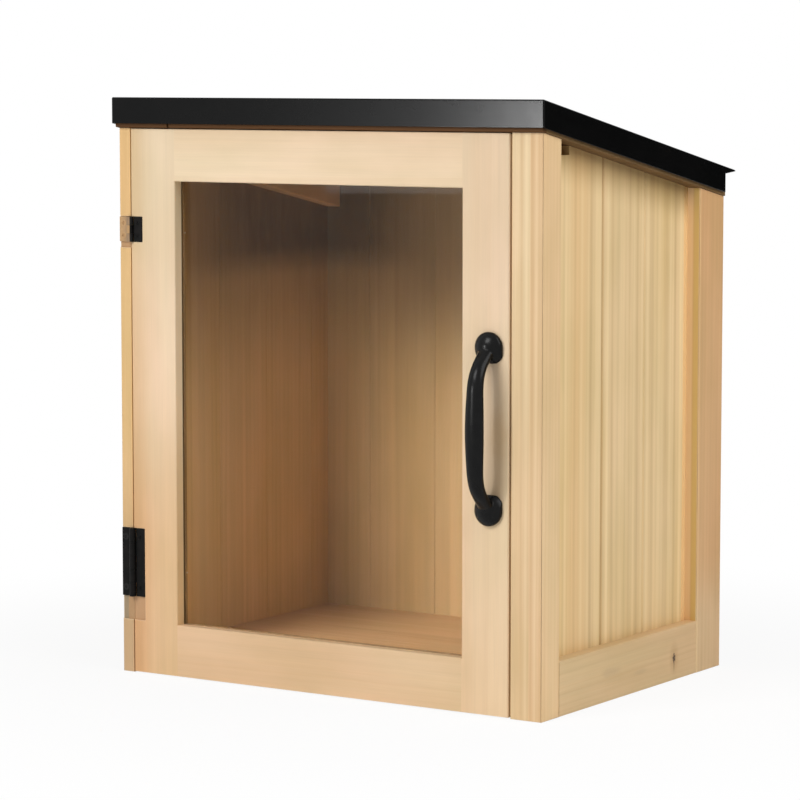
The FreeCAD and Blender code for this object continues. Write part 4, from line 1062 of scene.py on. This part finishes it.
@dataclass
class Hinges:
    """The leaves of the two butt hinges, with eased edges, and their pins."""

    easing: Easing = Easing(0.3 * MM, 5 * MM, 12 * MM * MM)

    def build(self) -> None:
        """Builds the leaves and dresses the pins."""
        black = HINGE_BLACK.material("hinge_black")
        leaves = {
            "lower_hinge_frame_leaf": (black, Body.CABINET, "black_metal"),
            "lower_hinge_door_leaf": (black, Body.DOOR, "black_metal"),
            "upper_hinge_frame_leaf": (BRONZE_LEAF.material("hinge_bronze"), Body.CABINET, "bronzed_metal"),
            "upper_hinge_door_leaf": (TWO_TONE_LEAF.material("hinge_two_tone"), Body.DOOR, "black_metal"),
        }
        for node, made in leaves.items():
            Mesher.make(node, "stamped", self.easing, *made)
        for node in ("lower_hinge_pin", "upper_hinge_pin"):
            dress(node, black)


@dataclass
class Catch:
    """The magnetic catch under the header and its plate on the door."""

    easing: Easing = Easing(0.3 * MM, 3 * MM)

    def build(self) -> None:
        """Builds the housing, magnet and plate."""
        pieces = {
            "catch_housing": (CATCH_BROWN, Body.CABINET, "catch_plastic"),
            "catch_magnet": (FERRITE, Body.CABINET, "magnet"),
            "strike_plate": (ZINC, Body.DOOR, "strike_steel"),
        }
        for node, (finish, body, slot) in pieces.items():
            Mesher.make(node, "made", self.easing, finish.material(f"{node}_finish"), body, slot)


@dataclass
class Handle:
    """The cast bow handle: two domed feet that run into a curved grip."""

    voxel: float = 0.5 * MM
    smoothing: int = 10
    flow: float = 0.5

    def build(self) -> None:
        """Builds the casting from the construction shape, with its joins flowing into each other."""
        blank = stand("handle_blank", Mesher.close(Mesher.copy("door_handle")))
        remesh = blank.modifiers.new("skin", "REMESH")
        remesh.mode = "VOXEL"
        remesh.voxel_size = self.voxel
        remesh.use_smooth_shade = True
        smooth = blank.modifiers.new("flow", "SMOOTH")
        smooth.factor = self.flow
        smooth.iterations = self.smoothing
        black = CAST_BLACK.material("cast_black")
        Mesher.add("door_handle_cast", Mesher.applied(blank), black, Body.DOOR, "handle_metal", "door_handle")


class Turner(Graph):
    """Grows screws and brads on points with Geometry Nodes."""

    SIZES = (
        "Head Radius", "Head Height", "Shank Radius", "Length", "Tip", "Pitch", "Thread", "Slot", "Slot Depth"
    )
    HEAD_STATIONS = 7
    RING_CORNERS = 20
    DOME_START = 0.3
    POINT = 0.12
    SLOT_REACH = 1.15
    NO_SLOT = 1e-6
    SMOOTH_TURN = math.radians(32)

    def __init__(self) -> None:
        """Builds the tree and its named inputs."""
        super().__init__(bpy.data.node_groups.new("turned_fixing", "GeometryNodeTree"))
        self.sockets: dict[str, str] = {}
        kinds = {"Points": "Geometry", **dict.fromkeys(self.SIZES, "Float"), "Pan": "Bool", "Seed": "Int"}
        for name, kind in {**kinds, "Material": "Material"}.items():
            self.declare(name, f"NodeSocket{kind}")
        self.tree.interface.new_socket("Fixings", in_out="OUTPUT", socket_type="NodeSocketGeometry")
        self.given = self.add("NodeGroupInput").outputs
        self.fill()

    def declare(self, name: str, kind: str) -> None:
        """Adds a named input with a socket type."""
        self.sockets[name] = self.tree.interface.new_socket(name, in_out="INPUT", socket_type=kind).identifier

    def switch(self, chooser: Socket, no: object, yes: object, kind: str = "FLOAT") -> Socket:
        """Adds a choice between two values or outputs of a kind and gives it."""
        inputs = {"Switch": chooser, "False": no, "True": yes}
        return self.add("GeometryNodeSwitch", inputs, input_type=kind).outputs["Output"]

    def more(self, first: object, second: object) -> Socket:
        """Adds whether the first number is more than the second."""
        kinds = {"data_type": "FLOAT", "operation": "GREATER_THAN"}
        return self.add("FunctionNodeCompare", {0: first, 1: second}, **kinds).outputs[0]

    def outline(self) -> tuple[Socket, Socket, Socket]:
        """Adds the outline of a fixing as a row of points from the top of its head to its tip.

        Returns:
            How many points there are, and each point's depth and radius.
        """
        sum_, times, given = self.math, self.times, self.given
        head, shank = given["Head Radius"], given["Shank Radius"]
        length, pitch = given["Length"], given["Pitch"]
        last = self.HEAD_STATIONS - 1
        index = self.add("GeometryNodeInputIndex").outputs[0]
        share = sum_("MINIMUM", sum_("DIVIDE", index, last), 1)
        angle = times(share, math.pi / 2)
        rise = sum_("MULTIPLY_ADD", sum_("SINE", angle), 1 - self.DOME_START, self.DOME_START)
        cone = sum_("ADD", times(sum_("SUBTRACT", shank, head), share), head)
        drop = self.switch(given["Pan"], share, sum_("SUBTRACT", 1, sum_("COSINE", angle)))
        head_radius = self.switch(given["Pan"], cone, times(head, rise))
        past = sum_("MAXIMUM", sum_("ADD", index, -last), 0)
        turns = times(times(past, pitch), 0.5)
        depth = sum_("MINIMUM", sum_("ADD", times(drop, given["Head Height"]), turns), length)
        odd = sum_("MODULO", past, 2)
        thread = times(shank, sum_("SUBTRACT", 1, times(odd, given["Thread"])))
        left = sum_("DIVIDE", sum_("SUBTRACT", length, depth), given["Tip"])
        taper = sum_("MINIMUM", sum_("MAXIMUM", left, self.POINT), 1)
        radius = self.switch(self.more(past, 0.5), head_radius, times(thread, taper))
        rows = sum_("DIVIDE", sum_("SUBTRACT", length, given["Head Height"]), pitch)
        count = sum_("CEIL", sum_("MULTIPLY_ADD", rows, 2, self.HEAD_STATIONS))
        return count, depth, radius

    def fill(self) -> None:
        """Turns the outline to one fixing, cuts its slot and puts it on every point."""
        add, given = self.add, self.given
        count, depth, radius = self.outline()
        line = add("GeometryNodeMeshLine", {"Count": count, "Offset": (0, 0, 0)}).outputs["Mesh"]
        height = add("ShaderNodeCombineXYZ", {"Z": self.times(depth, -1)}).outputs[0]
        placed = add("GeometryNodeSetPosition", {"Geometry": line, "Position": height}).outputs[0]
        inputs = {"Geometry": placed, "Name": "turned", "Value": radius}
        stored = add("GeometryNodeStoreNamedAttribute", inputs, data_type="FLOAT", domain="POINT").outputs[0]
        curve = add("GeometryNodeMeshToCurve", {"Mesh": stored}).outputs[0]
        width = self.attribute("turned", "FLOAT")
        circle = {"Resolution": self.RING_CORNERS, "Radius": 1.0}
        ring = add("GeometryNodeCurvePrimitiveCircle", circle).outputs["Curve"]
        inputs = {"Curve": curve, "Profile Curve": ring, "Scale": width, "Fill Caps": True}
        turned = add("GeometryNodeCurveToMesh", inputs).outputs["Mesh"]
        cut = self.more(given["Slot Depth"], self.NO_SLOT)
        fixing = self.switch(cut, turned, self.slot(turned), "GEOMETRY")
        facing = {"Vector": self.attribute("facing", "FLOAT_VECTOR")}
        upright = add("FunctionNodeAlignRotationToVector", facing, axis="Z").outputs["Rotation"]
        inputs = {2: 0.0, 3: 2 * math.pi, "Seed": given["Seed"]}
        angle = add("FunctionNodeRandomValue", inputs, data_type="FLOAT").outputs[1]
        spin = add("FunctionNodeAxisAngleToRotation", {"Axis": (0, 0, 1), "Angle": angle}).outputs[0]
        turn = add("FunctionNodeRotateRotation", {0: upright, 1: spin}, rotation_space="LOCAL").outputs[0]
        inputs = {"Points": given["Points"], "Instance": fixing, "Rotation": turn}
        many = add("GeometryNodeInstanceOnPoints", inputs).outputs[0]
        real = add("GeometryNodeRealizeInstances", {"Geometry": many}).outputs[0]
        painted = add("GeometryNodeSetMaterial", {"Geometry": real, "Material": given["Material"]}).outputs[0]
        add("NodeGroupOutput", {0: painted})

    def attribute(self, name: str, kind: str) -> Socket:
        """Adds a named attribute of a kind."""
        node = self.add("GeometryNodeInputNamedAttribute", {"Name": name}, data_type=kind)
        return node.outputs["Attribute"]

    def slot(self, turned: Socket) -> Socket:
        """Cuts the cross slot.

        Args:
            turned: The fixing without a slot.

        Returns:
            The fixing with it.
        """
        add, given = self.add, self.given
        reach = self.times(given["Head Radius"], self.SLOT_REACH)
        depth = self.times(given["Slot Depth"], 2)
        cut = add("GeometryNodeMeshBoolean", {"Mesh 1": turned}, operation="DIFFERENCE", solver="EXACT")
        for wide, deep in ((reach, given["Slot"]), (given["Slot"], reach)):
            size = add("ShaderNodeCombineXYZ", {"X": wide, "Y": deep, "Z": depth}).outputs[0]
            self.feed(cut.inputs["Mesh 2"], add("GeometryNodeMeshCube", {"Size": size}).outputs["Mesh"])
        return cut.outputs["Mesh"]

    def grow(self, places: list[tuple[Vector, Vector]], sizes: dict[str, object]) -> Mesh:
        """Grows fixings.

        Args:
            places: For each, the top of its head and the way that it faces.
            sizes: The tree's inputs by name.

        Returns:
            All of them as one mesh.
        """
        mesh = bpy.data.meshes.new("fixing_points")
        mesh.from_pydata([tuple(top) for top, _ in places], [], [])
        facing = mesh.attributes.new("facing", "FLOAT_VECTOR", "POINT")
        for item, (_, way) in zip(facing.data, places):
            item.vector = way
        blank = stand("fixing_points", mesh)
        modifier = blank.modifiers.new("grow", "NODES")
        modifier.node_group = self.tree
        for name, value in sizes.items():
            modifier[self.sockets[name]] = value
        grown = Mesher.applied(blank)
        grown.shade_smooth()
        grown.set_sharp_from_angle(angle=self.SMOOTH_TURN)
        return grown


@dataclass(frozen=True)
class Fixing:
    """One kind of screw or brad and where it sits.

    Attributes:
        node: The construction node that holds all of them.
        slot: The record's material slot.
        body: The body that they move with.
        coat: Their finish.
        head: Radius and height of the head.
        shank: Radius of the shank.
        facing: The way that the heads face, or None for brads, which face the middle of the door.
        pan: Whether the head is domed.
        pitch: Rise of the thread for one turn.
        thread: Depth of the thread as a share of the shank.
        cross: Width and depth of the cross slot.
        tip: Length of the taper.
    """

    node: str
    slot: str
    body: Body
    coat: Coat
    head: tuple[float, float]
    shank: float
    facing: Triple | None
    pan: bool = False
    pitch: float = 1.0 * MM
    thread: float = 0.22
    cross: tuple[float, float] = (0.75 * MM, 0.9 * MM)
    tip: float = 2.5 * MM

    def islands(self) -> list[list[Vector]]:
        """Finds the separate solids of the node.

        Returns:
            The corners of each, in the order of their middles.
        """
        work = Mesher.copy(self.node)
        waiting = set(work.verts)
        solids = []
        while waiting:
            heap = [waiting.pop()]
            corners = []
            while heap:
                corner = heap.pop()
                corners.append(corner.co.copy())
                near = {edge.other_vert(corner) for edge in corner.link_edges} & waiting
                waiting -= near
                heap.extend(near)
            solids.append(corners)
        work.free()
        solids.sort(key=lambda corners: tuple(round(c, 5) for c in sum(corners, Vector()) / len(corners)))
        return solids

    def build(self, turner: Turner, seed: int) -> None:
        """Builds all of them as one piece.

        Args:
            turner: The tree that grows them.
            seed: Seed of the turns of their slots.
        """
        places, length = [], 0.0
        for corners in self.islands():
            way = Vector(self.facing) if self.facing else self.inward(corners)
            turn = way.to_track_quat("Z", "Y").to_matrix()
            low, high = self.span([turn.transposed() @ corner for corner in corners])
            middle = (low + high) / 2
            places.append((turn @ Vector((middle.x, middle.y, high.z)), way))
            length = high.z - low.z
        values = (*self.head, self.shank, length, self.tip, self.pitch, self.thread, *self.cross)
        material = self.coat.material(f"{self.node}_finish")
        sizes = {**dict(zip(Turner.SIZES, values)), "Pan": self.pan, "Seed": seed, "Material": material}
        mesh = turner.grow(places, sizes)
        Mesher.add(f"{self.node}_turned", mesh, material, self.body, self.slot, self.node)

    @staticmethod
    def span(corners: list[Vector]) -> tuple[Vector, Vector]:
        """The lowest and highest corner of the box around some corners."""
        axes = list(zip(*corners))
        return Vector([min(axis) for axis in axes]), Vector([max(axis) for axis in axes])

    @classmethod
    def inward(cls, corners: list[Vector]) -> Vector:
        """The way that a brad's head faces.

        Args:
            corners: Its corners.

        Returns:
            The direction along it, towards the middle of the pane.
        """
        middle = sum(corners, Vector()) / len(corners)
        glass_low, glass_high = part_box("door_glass")
        offset = middle - (glass_low + glass_high) / 2
        low, high = cls.span(corners)
        spans = list(high - low)
        axis = spans.index(max(spans))
        way = Vector((0, 0, 0))
        way[axis] = -math.copysign(1, offset[axis])
        return way


HINGE_SCREWS = Fixing(
    "frame_hinge_screws",
    "frame_screw_metal",
    Body.CABINET,
    FRAME_SCREW,
    (2.4 * MM, 1.4 * MM),
    1.2 * MM,
    (0, -1, 0),
    cross=(0.7 * MM, 0.45 * MM),
)
HANDLE_SCREWS = Fixing(
    "handle_screws", "screw_steel", Body.DOOR, ZINC, (4 * MM, 2.4 * MM), 1.88 * MM, (0, 1, 0), True
)
CATCH_SCREWS = Fixing(
    "catch_screws", "screw_steel", Body.CABINET, ZINC, (2.35 * MM, 1.4 * MM), 1.15 * MM, (0, 0, -1)
)
FIXINGS = (
    HINGE_SCREWS,
    replace(HINGE_SCREWS, node="door_hinge_screws", slot="black_metal", body=Body.DOOR, coat=HINGE_BLACK),
    HANDLE_SCREWS,
    CATCH_SCREWS,
    replace(CATCH_SCREWS, node="strike_screw", body=Body.DOOR, facing=(0, 1, 0)),
    replace(
        HANDLE_SCREWS,
        node="roof_screws",
        body=Body.CABINET,
        facing=ROOF_UP,
        pitch=1.4 * MM,
        cross=(1.0 * MM, 1.3 * MM),
    ),
    Fixing(
        "glazing_brads",
        "screw_steel",
        Body.DOOR,
        ZINC,
        (0.6 * MM, 0.3 * MM),
        0.55 * MM,
        None,
        pitch=2 * MM,
        thread=0.0,
        cross=(0.0, 0.0),
    ),
)


@dataclass(frozen=True)
class Softbox:
    """One lamp of the studio, at degrees round from the door's front and above the horizon.

    Attributes:
        level: How light it makes a surface that faces it, 1 for a colour as written.
    """

    name: str
    bearing: float
    height: float
    distance: float
    size: tuple[float, float]
    level: float

    def build(self, target: Vector) -> None:
        """Hangs the lamp and points it.

        Args:
            target: What it points at.
        """
        lamp = bpy.data.lights.new(self.name, "AREA")
        lamp.shape = "RECTANGLE"
        lamp.size, lamp.size_y = self.size
        lamp.energy = self.level * math.pi**2 * self.distance**2
        light = stand(self.name, lamp)
        away = away_at(self.bearing, self.height)
        light.location = target + self.distance * away
        light.rotation_euler = away.to_track_quat("Z", "Y").to_euler()
        light.visible_camera = False


def away_at(bearing: float, height: float) -> Vector:
    """The way from the box at degrees round from its front and degrees above the horizon."""
    turn, tilt = math.radians(bearing), math.radians(height)
    return Vector((math.sin(turn) * math.cos(tilt), -math.cos(turn) * math.cos(tilt), math.sin(tilt)))


@dataclass
class Studio:
    """Floor, lamps, surroundings and camera. The lens and the picture's width are in pixels."""

    middle: Triple = (0.0, 0.0, 0.2)
    fill: float = 0.12
    floor_size: float = 40.0
    floor_drop: float = 0.2 * MM
    floor_tones: tuple[Colour, Colour] = ((0.93, 0.93, 0.925), (0.95, 0.95, 0.945))
    clear_ring: tuple[float, float] = (0.2, 0.6)
    clear_share: float = 0.9
    card_low: Triple = (0.35, 0.9, 0.0)
    card_high: Triple = (1.5, 1.9, 0.9)
    card_tones: tuple[float, float] = (0.002, 0.004)
    eye: Triple = (1.2873, -1.9984, 0.4373)
    yaw: float = 33.193
    pitch: float = 5.743
    focal: float = 3270.05
    picture: float = 800.0
    sensor: float = 36.0

    def build(self) -> None:
        """Builds the whole studio."""
        self.hang_lamps()
        self.surround()
        self.lay_floor()
        self.stand_card()
        self.set_camera()
        bpy.context.scene.view_settings.view_transform = "Standard"

    def hang_lamps(self) -> None:
        """Hangs the softboxes."""
        lamps = (
            Softbox("key", -12, 34, 2.1, (0.8, 0.8), 0.468),
            Softbox("side", 84, 38, 1.8, (1.3, 1.3), 0.62),
            Softbox("sweep", -23.2, 4.2, 2.035, (0.12, 0.14), 0.128),
            Softbox("trail", -29.4, 4.1, 2.083, (0.24, 0.14), 0.005),
        )
        for lamp in lamps:
            lamp.build(Vector(self.middle))

    def surround(self) -> None:
        """Makes surroundings that look white and light the box softly."""
        world = bpy.data.worlds.new("studio")
        world.use_nodes = True
        graph = Graph(world.node_tree)
        depth = graph.add("ShaderNodeLightPath").outputs["Diffuse Depth"]
        white = graph.times(graph.seen(), graph.math("LESS_THAN", depth, 0.5))
        strength = graph.math("MULTIPLY_ADD", white, 1 - self.fill, self.fill)
        shader = graph.add("ShaderNodeBackground", {"Color": (1.0, 1.0, 1.0), "Strength": strength})
        graph.add("ShaderNodeOutputWorld", {"Surface": shader.outputs[0]})
        bpy.context.scene.world = world

    def lay_floor(self) -> None:
        """Lays the pale floor, which runs out into white away from the box."""
        work = bmesh.new()
        bmesh.ops.create_grid(work, x_segments=1, y_segments=1, size=self.floor_size)
        bmesh.ops.translate(work, verts=work.verts, vec=(0, 0, -self.floor_drop))
        mesh = bpy.data.meshes.new("floor")
        work.to_mesh(mesh)
        work.free()
        paint = Paint("floor_pale")
        colour = paint.mix(paint.noise((60, 60, 60), 3.0), *self.floor_tones)
        surface = paint.principled({"Base Color": colour, "Roughness": 0.7, "Specular IOR Level": 0.1})
        white = paint.add("ShaderNodeEmission", {"Color": (1.0, 1.0, 1.0), "Strength": 1.0}).outputs[0]
        far = paint.ease(paint.vector("LENGTH", paint.place), *self.clear_ring, self.clear_share, 1)
        inputs = {0: paint.times(paint.seen(), far), 1: surface, 2: white}
        mesh.materials.append(paint.finish(paint.add("ShaderNodeMixShader", inputs).outputs[0]))
        stand("floor", mesh)

    def stand_card(self) -> None:
        """Stands a black card to the right behind the box, which only mirrors show."""
        (left, near, foot), (right, far, top) = self.card_low, self.card_high
        corners = [(left, far, foot), (right, near, foot), (right, near, top), (left, far, top)]
        mesh = bpy.data.meshes.new("black_card")
        mesh.from_pydata(corners, [], [(0, 1, 2, 3)])
        paint = Paint("card_black")
        soft = paint.remap(paint.noise((9, 9, 9)), 0, 1, *self.card_tones)
        tone = paint.add("ShaderNodeCombineColor", {0: soft, 1: soft, 2: soft}).outputs[0]
        mesh.materials.append(paint.finish(paint.principled({"Base Color": tone, "Roughness": 1.0})))
        card = stand("black_card", mesh)
        for ray in ("camera", "diffuse", "transmission", "volume_scatter", "shadow"):
            setattr(card, f"visible_{ray}", False)

    def set_camera(self) -> None:
        """Sets the camera where the photograph was taken from."""
        lens = bpy.data.cameras.new("camera")
        lens.sensor_fit = "HORIZONTAL"
        lens.sensor_width = self.sensor
        lens.lens = self.focal / self.picture * self.sensor
        lens.clip_end = 100
        camera = stand("camera", lens)
        back = away_at(self.yaw, self.pitch)
        right = Vector((math.cos(math.radians(self.yaw)), math.sin(math.radians(self.yaw)), 0))
        axes = Matrix((right, back.cross(right), back)).transposed()
        camera.matrix_world = Matrix.Translation(self.eye) @ axes.to_4x4()
        bpy.context.scene.camera = camera


def main() -> None:
    """Builds the studio, then every piece of the box."""
    logging.basicConfig(level=logging.INFO, format="%(message)s")
    for part in (Studio(), Cabinet(), Roof(), Door(), Hinges(), Handle(), Catch()):
        part.build()
    turner = Turner()
    for seed, fixing in enumerate(FIXINGS, start=1):
        fixing.build(turner, seed)


if __name__ == "__main__":
    main()
